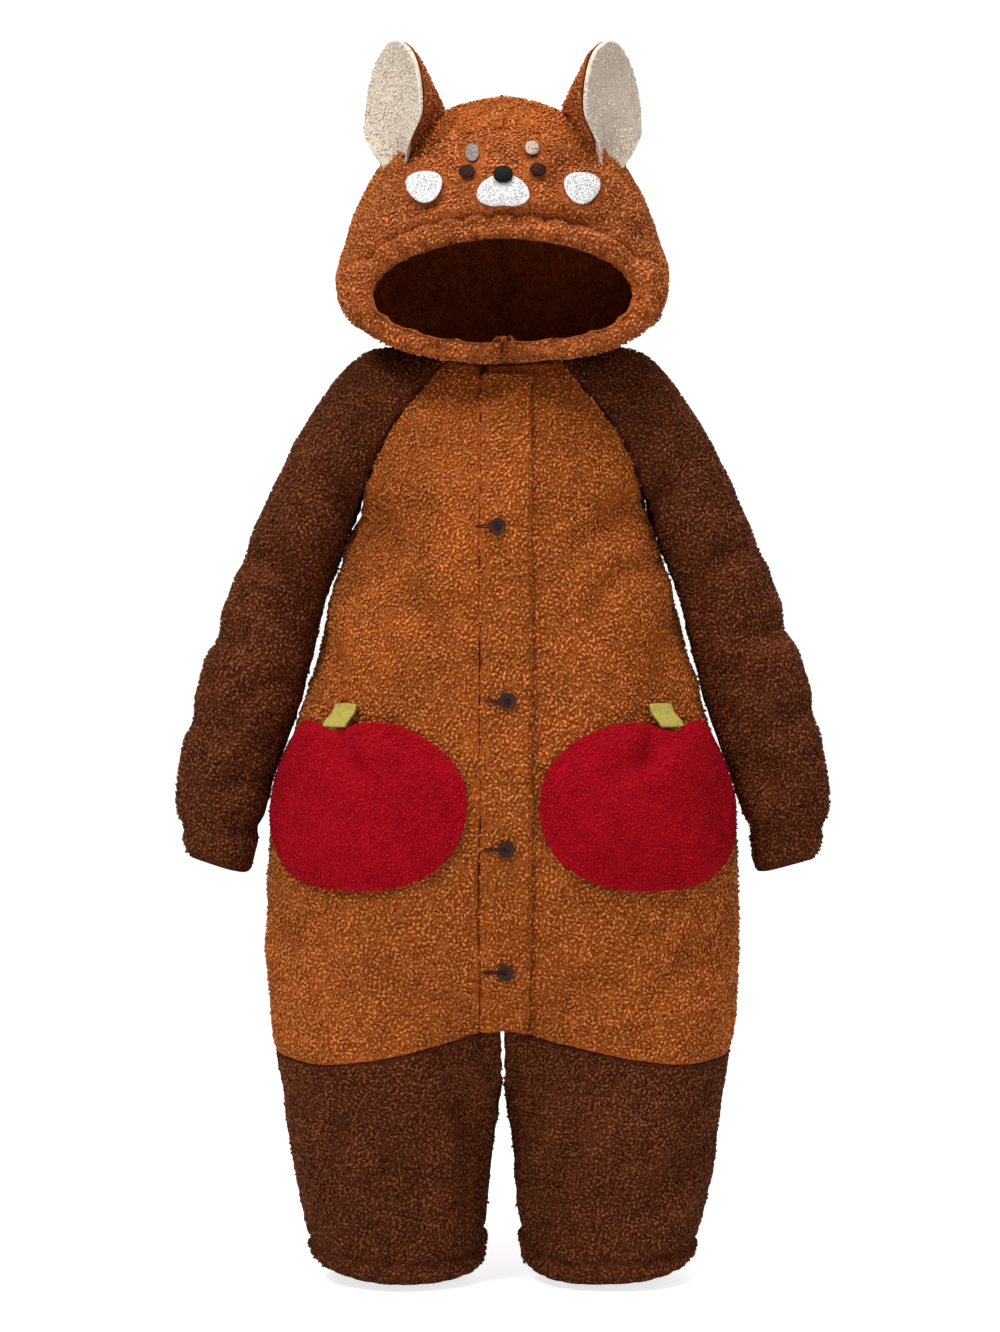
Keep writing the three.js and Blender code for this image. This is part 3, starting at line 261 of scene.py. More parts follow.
def slacken(panel, size=0.05, amount=0.003):
    """Uneven cloth: a soft wander of the whole panel, the same for its face and its back."""
    clouds = bpy.data.textures.new(panel.name + "_wander", "CLOUDS")
    clouds.cloud_type = "COLOR"
    clouds.noise_scale = size
    clouds.noise_depth = 1
    wander = panel.modifiers.new("wander", "DISPLACE")
    wander.texture = clouds
    wander.texture_coords = "LOCAL"
    wander.direction = "RGB_TO_XYZ"
    wander.strength = amount
    bpy.context.view_layer.objects.active = panel
    bpy.ops.object.modifier_apply(modifier=wander.name)


def turn_edge(panel, line, row, puff, groove):
    """An edge turned back and stitched: the double cloth swells up to the row, which pulls in."""
    groove_width = 0.0026
    width, only = row
    points = read_points(panel)
    out = away_from(line, points)
    off = edge_distance(panel, only)
    swell = puff * np.sin(np.pi * np.clip(off / width, 0, 1)) ** 0.7
    pull = groove * np.exp(-(((off - width) / groove_width) ** 2))
    move_points(panel, points + out * (swell - pull)[:, None])


def sew_row(panel, line, row, turn_of, thread, name, step=0.0042):
    """A row of stitches along a turned edge: one short stitch, copied on the outside of the cloth."""
    width, only = row
    radius = 0.00045
    band = 0.0016  # half the width of the strip whose points lead the row
    slice_turn = 0.05
    widest_gap = 0.04
    points = read_points(panel)
    normals = read_points(panel, "normal")
    off = edge_distance(panel, only)
    near = (np.abs(off - width) < band) & ((normals * away_from(line, points)).sum(1) > 0.2)
    points, normals = points[near], normals[near]
    order = np.argsort(turn_of(points))
    points, normals, turns = points[order], normals[order], turn_of(points[order])
    path = []
    for low in np.arange(turns[0], turns[-1], slice_turn):
        here = (turns >= low) & (turns < low + slice_turn)
        if here.any():
            path.append((points[here].mean(0), normals[here].mean(0)))
    stitches = []
    left_over = 0.0
    for (start, up), (end, _) in zip(path[:-1], path[1:]):
        length = np.linalg.norm(end - start)
        if length > widest_gap:
            continue
        while left_over < length:
            stitches.append((start + (end - start) * left_over / length, end - start, up))
            left_over += step
        left_over -= length
    bpy.ops.object.select_all(action="DESELECT")
    bpy.ops.mesh.primitive_uv_sphere_add(segments=6, ring_count=4, radius=radius)
    stitch = bpy.context.object
    stitch.scale = (1, 1, step * 0.36 / radius)
    bpy.ops.object.transform_apply(scale=True)
    copies = []
    for place, way, up in stitches:
        copy = bpy.data.objects.new(name, stitch.data.copy())
        bpy.context.scene.collection.objects.link(copy)
        copy.rotation_mode = "QUATERNION"
        copy.rotation_quaternion = Vector(way).to_track_quat("Z", "Y")
        copy.location = place + up * 0.0002
        copies.append(copy)
    bpy.data.objects.remove(stitch)
    bpy.ops.object.select_all(action="DESELECT")
    for copy in copies:
        copy.select_set(True)
    bpy.context.view_layer.objects.active = copies[0]
    bpy.ops.object.join()
    bpy.ops.object.transform_apply(location=True, rotation=True, scale=True)
    bpy.ops.object.shade_smooth()
    sewing = bpy.context.object
    sewing.name = name
    sewing.data.materials.append(thread)
    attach(sewing, "root")


def comb(panel, line, height=pile_height, seam_width=0.007, seam_pull=0.0018, sewn=None, under=()):
    """Writes how high the pile stands, and sinks the knit below it by that much. It stands on the
    outside only, lower along the seams and a sewn row, and not under what is sewn on."""
    seam_low = 0.35
    row_width = 0.0017
    patch_bare = 0.0042  # how far round a sewn patch the cloth stays bare
    patch_soft = 0.002  # over which the pile rises again
    patch_press = 0.0012
    press_reach = 0.003
    points = read_points(panel)
    normals = read_points(panel, "normal")
    outside = (normals * away_from(line, points)).sum(1) > 0.05
    seam = edge_distance(panel)
    stand = seam_low + (1 - seam_low) * np.clip(seam / seam_width, 0, 1)
    pull = seam_pull * np.exp(-((seam / (0.7 * seam_width)) ** 2)) * outside
    points = points - normals * pull[:, None]
    if sewn:
        from_edge, only = sewn
        row = edge_distance(panel, only) - from_edge
        stand *= 1 - 0.95 * np.exp(-((row / row_width) ** 2))
    if under:
        covers = [vertex.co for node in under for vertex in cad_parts[node].data.vertices]
        tree = tree_of(covers)
        away = np.array([tree.find(point)[2] for point in points])
        press = patch_press * np.clip(2 - away / press_reach, 0, 1) * outside
        points = points - normals * press[:, None]
        stand *= np.clip((away - patch_bare) / patch_soft, 0, 1)
    stand = stand * outside
    move_points(panel, points - normals * (stand * height)[:, None])
    layer = panel.data.attributes.new("stand", "FLOAT", "POINT")
    layer.data.foreach_set("value", stand.astype(np.float32))


def model_curl(name, radius, length, rise):
    """One lock of pile: a thin horn, extruded from a buried triangle and bent over."""
    bpy.ops.object.select_all(action="DESELECT")
    bpy.ops.mesh.primitive_circle_add(vertices=3, radius=radius, location=(0, 0, 0))
    curl = bpy.context.object
    curl.name = name
    curl.data.attributes.new("tip", "FLOAT", "POINT")
    bpy.ops.object.mode_set(mode="EDIT")
    bpy.ops.transform.translate(value=(-length * 0.35, 0, -rise * 0.2))
    bpy.ops.mesh.extrude_edges_move(TRANSFORM_OT_translate={"value": (length * 0.3, 0, rise)})
    bpy.ops.mesh.extrude_edges_move(TRANSFORM_OT_translate={"value": (length * 0.7, 0, rise * 0.1)})
    bpy.ops.mesh.merge(type="CENTER")
    bpy.ops.mesh.select_all(action="SELECT")
    bpy.ops.mesh.normals_make_consistent(inside=False)
    bpy.ops.object.mode_set(mode="OBJECT")
    bpy.ops.object.shade_smooth()
    heights = [vertex.co.z for vertex in curl.data.vertices]
    low, high = min(heights), max(heights)
    layer = curl.data.attributes["tip"]
    for vertex in curl.data.vertices:
        layer.data[vertex.index].value = (vertex.co.z - low) / (high - low)
    return curl


def pile_nodes():
    """Scatters a lock over the outside of a panel and keeps only the locks. In a Random Value
    node of floats, inputs 2 and 3 are its limits and output 1 is its value."""
    tree = bpy.data.node_groups.new("grow_pile", "GeometryNodeTree")
    tree.interface.new_socket("Cloth", in_out="INPUT", socket_type="NodeSocketGeometry")
    tree.interface.new_socket("Lock", in_out="INPUT", socket_type="NodeSocketObject")
    tree.interface.new_socket("Spacing", in_out="INPUT", socket_type="NodeSocketFloat")
    tree.interface.new_socket("Seed", in_out="INPUT", socket_type="NodeSocketInt")
    tree.interface.new_socket("Pile", in_out="OUTPUT", socket_type="NodeSocketGeometry")
    add = tree.nodes.new
    link = tree.links.new
    start = add("NodeGroupInput")
    stand = add("GeometryNodeInputNamedAttribute")
    stand.data_type = "FLOAT"
    stand.inputs["Name"].default_value = "stand"
    outside = add("FunctionNodeCompare")
    outside.data_type = "FLOAT"
    outside.operation = "GREATER_THAN"
    outside.inputs["B"].default_value = 0.08
    spread = add("GeometryNodeDistributePointsOnFaces")
    spread.distribute_method = "POISSON"
    spread.inputs["Density Max"].default_value = 300000
    turn = add("FunctionNodeRandomValue")
    turn.data_type = "FLOAT"
    turn.inputs[2].default_value = 0
    turn.inputs[3].default_value = 2 * math.pi
    spin = add("FunctionNodeAxisAngleToRotation")
    spin.inputs["Axis"].default_value = (0, 0, 1)
    twist = add("FunctionNodeRotateRotation")
    twist.rotation_space = "LOCAL"
    grade = add("FunctionNodeRandomValue")
    grade.data_type = "FLOAT"
    grade.inputs[2].default_value = 0.72
    grade.inputs[3].default_value = 1.25
    size = add("ShaderNodeMath")
    size.operation = "MULTIPLY"
    lock = add("GeometryNodeObjectInfo")
    plant = add("GeometryNodeInstanceOnPoints")
    tint = add("FunctionNodeRandomValue")
    tint.data_type = "FLOAT"
    keep = add("GeometryNodeStoreNamedAttribute")
    keep.data_type = "FLOAT"
    keep.domain = "INSTANCE"
    keep.inputs["Name"].default_value = "tint"
    real = add("GeometryNodeRealizeInstances")
    end = add("NodeGroupOutput")
    link(start.outputs["Cloth"], spread.inputs["Mesh"])
    link(start.outputs["Spacing"], spread.inputs["Distance Min"])
    link(start.outputs["Seed"], spread.inputs["Seed"])
    link(stand.outputs["Attribute"], outside.inputs["A"])
    link(outside.outputs["Result"], spread.inputs["Selection"])
    link(start.outputs["Seed"], turn.inputs["Seed"])
    link(turn.outputs[1], spin.inputs["Angle"])
    link(spread.outputs["Rotation"], twist.inputs["Rotation"])
    link(spin.outputs["Rotation"], twist.inputs["Rotate By"])
    link(grade.outputs[1], size.inputs[0])
    link(stand.outputs["Attribute"], size.inputs[1])
    link(start.outputs["Lock"], lock.inputs["Object"])
    link(spread.outputs["Points"], plant.inputs["Points"])
    link(lock.outputs["Geometry"], plant.inputs["Instance"])
    link(twist.outputs["Rotation"], plant.inputs["Rotation"])
    link(size.outputs["Value"], plant.inputs["Scale"])
    link(plant.outputs["Instances"], keep.inputs["Geometry"])
    link(tint.outputs[1], keep.inputs["Value"])
    link(keep.outputs["Geometry"], real.inputs["Geometry"])
    link(real.outputs["Geometry"], end.inputs["Pile"])
    return tree


growing = pile_nodes()


def grow_pile(panel, lock, spacing, seed, material):
    """The pile of a panel, as its own piece."""
    pile = bpy.data.objects.new(panel.name.replace("_cloth", "_pile"), panel.data.copy())
    bpy.context.scene.collection.objects.link(pile)
    bpy.ops.object.select_all(action="DESELECT")
    bpy.context.view_layer.objects.active = pile
    pile.select_set(True)
    grow = pile.modifiers.new("grow", "NODES")
    grow.node_group = growing
    grow["Socket_1"] = lock
    grow["Socket_2"] = spacing
    grow["Socket_3"] = seed
    bpy.context.view_layer.update()
    bpy.ops.object.modifier_apply(modifier=grow.name)
    pile.data.materials.clear()
    pile.data.materials.append(material)
    return pile


def fleece_look():
    """Curly pile: the Root colour is painted shade between and at the foot of the locks, the Tip colour
    lightens with painted highlight up them and along a wavy pattern, uneven from lock to lock and by area.
    """
    tree = bpy.data.node_groups.new("fleece_look", "ShaderNodeTree")
    sockets = {"Root": "Color", "Tip": "Color", "Uneven": "Float", "Fuzz": "Float", "Curls": "Float"}
    for socket, kind in sockets.items():
        tree.interface.new_socket(socket, in_out="INPUT", socket_type="NodeSocket" + kind)
    tree.interface.new_socket("Color", in_out="OUTPUT", socket_type="NodeSocketColor")
    tree.interface.new_socket("Normal", in_out="OUTPUT", socket_type="NodeSocketVector")
    add = tree.nodes.new
    link = tree.links.new
    start = add("NodeGroupInput")
    end = add("NodeGroupOutput")
    place = add("ShaderNodeTexCoord")
    height = add("ShaderNodeAttribute")
    height.attribute_name = "tip"
    lot = add("ShaderNodeAttribute")
    lot.attribute_name = "tint"
    climb = add("ShaderNodeMapRange")
    climb.inputs["From Min"].default_value = 0.05
    climb.inputs["From Max"].default_value = 0.95
    lock = add("ShaderNodeMix")
    lock.data_type = "RGBA"
    worm = add("ShaderNodeTexNoise")
    worm.inputs["Detail"].default_value = 1
    worm.inputs["Distortion"].default_value = 1.4
    ridge = add("ShaderNodeMapRange")
    ridge.inputs["From Min"].default_value = 0.40
    ridge.inputs["From Max"].default_value = 0.66
    ridge.inputs["To Max"].default_value = 0.7
    top = add("ShaderNodeMath")
    top.operation = "MAXIMUM"
    relief = add("ShaderNodeBump")
    relief.inputs["Strength"].default_value = 0.6
    relief.inputs["Distance"].default_value = 0.0016
    fibre = add("ShaderNodeTexNoise")
    fibre.inputs["Scale"].default_value = 900
    fibre.inputs["Detail"].default_value = 2
    bump = add("ShaderNodeBump")
    bump.inputs["Distance"].default_value = 0.0008
    link(place.outputs["Object"], worm.inputs["Vector"])
    link(start.outputs["Curls"], worm.inputs["Scale"])
    link(height.outputs["Fac"], climb.inputs["Value"])
    link(worm.outputs["Fac"], ridge.inputs["Value"])
    link(climb.outputs["Result"], top.inputs[0])
    link(ridge.outputs["Result"], top.inputs[1])
    link(top.outputs["Value"], lock.inputs["Factor"])
    link(start.outputs["Root"], lock.inputs["A"])
    link(start.outputs["Tip"], lock.inputs["B"])
    link(worm.outputs["Fac"], relief.inputs["Height"])
    link(relief.outputs["Normal"], bump.inputs["Normal"])
    link(place.outputs["Object"], fibre.inputs["Vector"])
    link(fibre.outputs["Fac"], bump.inputs["Height"])
    link(start.outputs["Fuzz"], bump.inputs["Strength"])
    link(bump.outputs["Normal"], end.inputs["Normal"])
    tone = None
    for scale, weight in [(14, 2.2), (70, 2.4), (None, 1.0)]:
        source = lot.outputs["Fac"]
        if scale:
            area = add("ShaderNodeTexNoise")
            area.inputs["Scale"].default_value = scale
            area.inputs["Detail"].default_value = 2
            area.inputs["Distortion"].default_value = 0.8
            link(place.outputs["Object"], area.inputs["Vector"])
            source = area.outputs["Fac"]
        swing = add("ShaderNodeMapRange")
        swing.clamp = False
        swing.inputs["To Min"].default_value = -weight
        swing.inputs["To Max"].default_value = weight
        link(source, swing.inputs["Value"])
        sway = add("ShaderNodeMath")
        sway.operation = "MULTIPLY_ADD"
        link(swing.outputs["Result"], sway.inputs[0])
        link(start.outputs["Uneven"], sway.inputs[1])
        sway.inputs[2].default_value = 1
        if tone:
            both = add("ShaderNodeMath")
            both.operation = "MULTIPLY"
            link(tone, both.inputs[0])
            link(sway.outputs["Value"], both.inputs[1])
            tone = both.outputs["Value"]
        else:
            tone = sway.outputs["Value"]
    shade = add("ShaderNodeVectorMath")
    shade.operation = "SCALE"
    link(lock.outputs["Result"], shade.inputs[0])
    link(tone, shade.inputs["Scale"])
    link(shade.outputs["Vector"], end.inputs["Color"])
    return tree


pile_look = fleece_look()


def fleece(name, root, tip, uneven, fuzz, sheen, curls=330):
    """A fleece from the shared look of curly pile: root is its colour darkened as painted shade between the
    locks, tip its colour lightened as painted highlight on them.
    """
    material = bpy.data.materials.new(name)
    material.use_nodes = True
    surface = material.node_tree.nodes["Principled BSDF"]
    look = material.node_tree.nodes.new("ShaderNodeGroup")
    look.node_tree = pile_look
    look.inputs["Root"].default_value = (*root, 1)
    look.inputs["Tip"].default_value = (*tip, 1)
    look.inputs["Uneven"].default_value = uneven
    look.inputs["Fuzz"].default_value = fuzz
    look.inputs["Curls"].default_value = curls
    material.node_tree.links.new(look.outputs["Color"], surface.inputs["Base Color"])
    material.node_tree.links.new(look.outputs["Normal"], surface.inputs["Normal"])
    surface.inputs["Roughness"].default_value = 0.85
    surface.inputs["Specular IOR Level"].default_value = 0.06
    surface.inputs["Sheen Weight"].default_value = sheen
    surface.inputs["Sheen Roughness"].default_value = 0.45
    surface.inputs["Sheen Tint"].default_value = (*[min(1, c * 2 + 0.1) for c in tip], 1)
    return material


def finish_cloth(panel, piles, node, material):
    """Gives the cloth its finish, hides the CAD node, and hangs the cloth and its piles on the root."""
    panel.data.materials.clear()
    panel.data.materials.append(material)
    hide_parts(node)
    for piece in [panel, *piles]:
        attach(piece, "root")


body_lock = model_curl("body_lock", 0.0012, 0.0036, 0.0017)
# The body fleece: root darkened as painted shade between the locks, tip lightened as painted highlight on
# them.
body_fleece = fleece("body_fleece", (0.34, 0.058, 0.003), (0.70, 0.215, 0.050), 0.16, 0.5, 0.06)

# Face, x, z, lean, bend, wide, long and deep, with face -1 the front and 1 the back.
body_creases = [
    (-1, 0.100, -0.128, 62, 0.010, 0.008, 0.040, -0.0030),
    (-1, -0.104, -0.140, -58, -0.008, 0.009, 0.044, -0.0034),
    (-1, 0.088, -0.186, 48, 0.012, 0.007, 0.036, -0.0022),
    (-1, -0.070, -0.206, -40, -0.010, 0.008, 0.050, -0.0026),
    (-1, 0.134, -0.236, 20, 0.006, 0.010, 0.060, -0.0024),
    (-1, -0.138, -0.252, -18, -0.006, 0.010, 0.055, -0.0024),
    (-1, 0.058, -0.505, 66, 0.012, 0.009, 0.052, -0.0030),
    (-1, -0.048, -0.512, -60, -0.014, 0.009, 0.050, -0.0032),
    (-1, 0.132, -0.500, 40, 0.008, 0.010, 0.045, -0.0026),
    (-1, -0.136, -0.488, -34, -0.010, 0.010, 0.050, -0.0028),
    (1, 0.110, -0.150, 55, 0.010, 0.009, 0.050, -0.0032),
    (1, -0.108, -0.138, -60, -0.010, 0.009, 0.046, -0.0030),
    (1, 0.040, -0.250, 76, 0.016, 0.011, 0.080, -0.0030),
    (1, -0.050, -0.282, -80, -0.016, 0.010, 0.070, -0.0026),
    (1, 0.020, -0.330, 84, 0.010, 0.010, 0.090, -0.0022),
    (1, 0.090, -0.490, -50, -0.012, 0.010, 0.060, -0.0032),
    (1, -0.080, -0.500, 46, 0.012, 0.010, 0.056, -0.0030),
    (1, 0.000, -0.470, 8, 0.006, 0.008, 0.050, -0.0028),
]
# Node, cut width and length, and the area of the cut.
body_panels = [
    ("front_right", (0.230, 0.560), 0.088),
    ("front_left", (0.260, 0.560), 0.098),
    ("back", (0.480, 0.580), 0.205),
]
for number, (node, flat, area) in enumerate(body_panels):
    panel = cut_panel(node)
    lay_creases(panel, body_line, body_creases)
    slacken(panel)
    comb(panel, body_line)
    pile = grow_pile(panel, body_lock, pile_spacing, 11 + number, body_fleece)
    finish_cloth(panel, [pile], node, body_fleece)

# Placket: a strip of the same fleece down the front, sewn on along the wearer's right edge. The
# four buttons sit on it.
placket = cut_panel("placket")
slacken(placket, 0.04, 0.002)
comb(placket, body_line, seam_width=0.004)
placket_pile = grow_pile(placket, body_lock, pile_spacing, 21, body_fleece)
finish_cloth(placket, [placket_pile], "placket", body_fleece)

# Sleeves: raglan sleeves of dark brown fleece, from the neckline to a casing with elastic in it.
sleeve_line = [
    (0.085, 0, -0.035),
    (0.150, 0, -0.125),
    (0.178, 0, -0.200),
    (0.207, -0.003, -0.280),
    (0.228, -0.006, -0.350),
    (0.226, -0.009, -0.430),
]
dark_lock = model_curl("dark_lock", 0.0012, 0.0038, 0.0016)
dark_fleece = fleece("dark_fleece", (0.080, 0.012, 0.003), (0.215, 0.066, 0.023), 0.2, 0.5, 0.06)
# Face, x, z, lean, bend, wide, long and deep on the wearer's left sleeve.
sleeve_creases = [
    (-1, 0.118, -0.120, 40, 0.008, 0.008, 0.040, -0.0030),
    (-1, 0.176, -0.165, 62, 0.008, 0.007, 0.030, -0.0026),
    (-1, 0.205, -0.225, 70, 0.007, 0.008, 0.030, -0.0030),
    (-1, 0.190, -0.262, -64, -0.006, 0.007, 0.026, -0.0024),
    (-1, 0.226, -0.292, 66, 0.007, 0.008, 0.026, -0.0026),
    (-1, 0.212, -0.338, -58, -0.007, 0.007, 0.024, -0.0024),
    (1, 0.150, -0.140, -48, -0.010, 0.009, 0.046, -0.0032),
    (1, 0.196, -0.228, 72, 0.008, 0.008, 0.034, -0.0032),
    (1, 0.214, -0.270, -66, -0.008, 0.008, 0.030, -0.0028),
    (1, 0.218, -0.326, 62, 0.008, 0.008, 0.028, -0.0026),
]
casing_height = -0.381
sleeve_spacing = 0.0029
right_drop = 0.006  # the folds of the right sleeve lie this much lower


def gather_cuff(sleeve, line):
    """The elastic draws the cuff in and throws small gathers above and below it."""
    drawn_in = -0.0035
    elastic_width = 0.006
    gather_depth = 0.0011
    gather_length = 0.026
    points = read_points(sleeve)
    out = away_from(line, points)
    turn = np.arctan2(out[:, 1], out[:, 0])
    below = points[:, 2] - casing_height
    ripple = np.cos(turn * 15 + 1.5 * np.sin(turn * 3)) + 0.5 * np.cos(turn * 26 + 2 * np.sin(turn * 2))
    reach = np.exp(-((below / gather_length) ** 2))
    drawn = drawn_in * np.exp(-((below / elastic_width) ** 2)) + gather_depth * ripple * reach
    move_points(sleeve, points + out * drawn[:, None])


for side, name in [(1, "left"), (-1, "right")]:
    line = [(x * side, y, z) for x, y, z in sleeve_line]
    sleeve = cut_panel("sleeve_" + name)
    creases = [
        (face, x * side, z - right_drop * (side < 0), lean * side, bend * side, wide, long, deep)
        for face, x, z, lean, bend, wide, long, deep in sleeve_creases
    ]
    lay_creases(sleeve, line, creases)
    gather_cuff(sleeve, line)
    slacken(sleeve)
    comb(sleeve, line)
    pile = grow_pile(sleeve, dark_lock, sleeve_spacing, 31 + side, dark_fleece)
    finish_cloth(sleeve, [pile], "sleeve_" + name, dark_fleece)

# Legs: short dark legs, a front and a back each, joined to the body at the hips and turned up
# in a stitched hem.
leg_middle = 0.085
leg_line = [(leg_middle, 0, -0.50), (leg_middle, 0, -0.76)]


def fibre_look():
    """Matted or laid fibres: an even colour with finer light and dark, drawn out where stretched."""
    tree = bpy.data.node_groups.new("fibre_look", "ShaderNodeTree")
    sockets = {"Dark": "Color", "Light": "Color", "Grain": "Float", "Depth": "Float", "Draw": "Vector"}
    for socket, kind in sockets.items():
        tree.interface.new_socket(socket, in_out="INPUT", socket_type="NodeSocket" + kind)
    tree.interface.new_socket("Color", in_out="OUTPUT", socket_type="NodeSocketColor")
    tree.interface.new_socket("Normal", in_out="OUTPUT", socket_type="NodeSocketVector")
    link = tree.links.new
    start = tree.nodes.new("NodeGroupInput")
    end = tree.nodes.new("NodeGroupOutput")
    place = tree.nodes.new("ShaderNodeTexCoord")
    draw = tree.nodes.new("ShaderNodeVectorMath")
    draw.operation = "MULTIPLY"
    fibre = tree.nodes.new("ShaderNodeTexNoise")
    fibre.inputs["Detail"].default_value = 3
    tone = tree.nodes.new("ShaderNodeMix")
    tone.data_type = "RGBA"
    bump = tree.nodes.new("ShaderNodeBump")
    bump.inputs["Distance"].default_value = 0.0005
    link(place.outputs["Object"], draw.inputs[0])
    link(start.outputs["Draw"], draw.inputs[1])
    link(draw.outputs["Vector"], fibre.inputs["Vector"])
    link(start.outputs["Grain"], fibre.inputs["Scale"])
    link(fibre.outputs["Fac"], tone.inputs["Factor"])
    link(start.outputs["Dark"], tone.inputs["A"])
    link(start.outputs["Light"], tone.inputs["B"])
    link(tone.outputs["Result"], end.inputs["Color"])
    link(fibre.outputs["Fac"], bump.inputs["Height"])
    link(start.outputs["Depth"], bump.inputs["Strength"])
    link(bump.outputs["Normal"], end.inputs["Normal"])
    return tree


laid_fibres = fibre_look()


def plain_cloth(name, colour, grain, depth, roughness, draw):
    """Felt or satin stitch in its own colour, from the shared look of fibres."""
    material = bpy.data.materials.new(name)
    material.use_nodes = True
    surface = material.node_tree.nodes["Principled BSDF"]
    look = material.node_tree.nodes.new("ShaderNodeGroup")
    look.node_tree = laid_fibres
    look.inputs["Dark"].default_value = (*[c * 0.6 for c in colour], 1)
    look.inputs["Light"].default_value = (*[min(1, c * 1.4) for c in colour], 1)
    look.inputs["Grain"].default_value = grain
    look.inputs["Depth"].default_value = depth
    look.inputs["Draw"].default_value = draw
    material.node_tree.links.new(look.outputs["Color"], surface.inputs["Base Color"])
    material.node_tree.links.new(look.outputs["Normal"], surface.inputs["Normal"])
    surface.inputs["Roughness"].default_value = roughness
    surface.inputs["Specular IOR Level"].default_value = 0.12
    return material


def satin(name, colour, grain):
    """Satin stitch in fine thread, laid up and down."""
    return plain_cloth(name, colour, grain, 0.5, 0.62, (1, 1, 0.12))


brown_thread = satin("brown_thread", (0.050, 0.014, 0.006), 2600)
leg_hem = (0.015, lambda edging: edging[:, 2] < -0.713)  # its width, and which edge is turned
leg_puff = 0.0032
leg_groove = 0.0030
# Face, x, z, lean, bend, wide, long and deep.
leg_creases = [
    (-1, 0.050, -0.632, 22, 0.006, 0.008, 0.062, -0.0034),
    (-1, 0.132, -0.655, 34, 0.005, 0.007, 0.034, -0.0030),
    (-1, 0.094, -0.690, 30, 0.006, 0.008, 0.040, -0.0022),
    (-1, -0.030, -0.596, -16, -0.004, 0.007, 0.044, -0.0030),
    (-1, -0.074, -0.640, -26, -0.006, 0.009, 0.050, -0.0022),
    (-1, -0.128, -0.612, 40, 0.006, 0.008, 0.030, -0.0022),
    (1, 0.060, -0.610, -30, -0.008, 0.008, 0.050, -0.0032),
    (1, 0.120, -0.660, -36, -0.006, 0.008, 0.040, -0.0028),
    (1, -0.056, -0.628, 26, 0.006, 0.008, 0.050, -0.0032),
    (1, -0.116, -0.676, 38, 0.006, 0.008, 0.036, -0.0028),
]


def leg_turn(side):
    """Gives the way round a leg, from one of its seams, for points on it."""
    return lambda points: np.arctan2(np.abs(points[:, 1]), points[:, 0] - leg_middle * side)


for side, name in [(1, "left"), (-1, "right")]:
    line = [(x * side, y, z) for x, y, z in leg_line]
    for face in ["front", "back"]:
        node = "leg_" + face + "_" + name
        leg = cut_panel(node)
        lay_creases(leg, line, leg_creases)
        slacken(leg)
        turn_edge(leg, line, leg_hem, leg_puff, leg_groove)
        comb(leg, line, sewn=leg_hem)
        sew_row(leg, line, leg_hem, leg_turn(side), brown_thread, node + "_stitches")
        seed = 41 + side + 4 * (face == "back")
        pile = grow_pile(leg, dark_lock, pile_spacing, seed, dark_fleece)
        finish_cloth(leg, [pile], node, dark_fleece)

# Hood: a face panel whose rim is turned back and stitched, in fleece a little redder than the
# body, and two back panels of the body's fleece, joined on the centre line.
hood_line = [(0, 0.010, 0.079), (0, 0.010, 0.081)]
patch_nodes = [
    "muzzle",
    "cheek_right",
    "cheek_left",
    "brow_right",
    "brow_left",
    "nose",
    "eye_right",
    "eye_left",
]
rim_puff = 0.0050
rim_groove = 0.0040
rim_middle = 0.058  # height of the middle of the opening
# Face, x, z, lean, bend, wide, long and deep.
hood_creases = [
    (-1, 0.012, 0.090, 88, 0.004, 0.005, 0.070, -0.0030),
    (-1, -0.060, 0.106, 70, 0.006, 0.006, 0.028, -0.0020),
    (-1, 0.100, 0.060, 18, 0.006, 0.008, 0.030, -0.0024),
    (-1, -0.104, 0.052, -14, -0.006, 0.008, 0.030, -0.0026),
    (-1, 0.052, 0.138, 55, 0.006, 0.007, 0.024, -0.0022),
    (-1, -0.050, 0.140, -50, -0.006, 0.007, 0.022, -0.0022),
    (1, 0.060, 0.052, -62, -0.010, 0.009, 0.044, -0.0030),
    (1, -0.054, 0.064, 58, 0.010, 0.009, 0.050, -0.0032),
    (1, 0.030, 0.110, 74, 0.010, 0.010, 0.040, -0.0024),
    (1, -0.070, 0.120, -66, -0.008, 0.009, 0.036, -0.0022),
]
hood_fleece = fleece("hood_fleece", (0.30, 0.055, 0.006), (0.64, 0.20, 0.060), 0.16, 0.5, 0.06)


def round_opening(edging):
    """The edge points that lie on the rim, and not on the panel's other seams."""
    return (edging[:, 1] < -0.062) & (np.abs(edging[:, 0]) < 0.118) & (edging[:, 2] < 0.096)


def rim_turn(points):
    """The way round the opening, from its lowest point."""
    return np.arctan2(points[:, 0], rim_middle - points[:, 2])


hood_rim = (0.018, round_opening)


for number, (node, flat, area) in enumerate([
    ("hood_face", (0.620, 0.150), 0.055),
    ("hood_back_left", (0.240, 0.330), 0.050),
    ("hood_back_right", (0.240, 0.330), 0.050),
]):
    rimmed = node == "hood_face"
    hood = cut_panel(node, levels=3 if rimmed else 2)
    lay_creases(hood, hood_line, hood_creases)
    slacken(hood)
    if rimmed:
        turn_edge(hood, hood_line, hood_rim, rim_puff, rim_groove)
        comb(hood, hood_line, sewn=hood_rim, under=patch_nodes)
        sew_row(hood, hood_line, hood_rim, rim_turn, brown_thread, "hood_rim_stitches")
    else:
        comb(hood, hood_line)
    cloth, slot = (hood_fleece, "hood_fleece") if rimmed else (body_fleece, "body_fleece")
    pile = grow_pile(hood, body_lock, pile_spacing, 61 + number, cloth)
    finish_cloth(hood, [pile], node, cloth)

# Pockets: two apples in short red fleece, sewn on round the edge and open along the outer top.
pocket_lock = model_curl("pocket_lock", 0.0009, 0.0024, 0.0010)
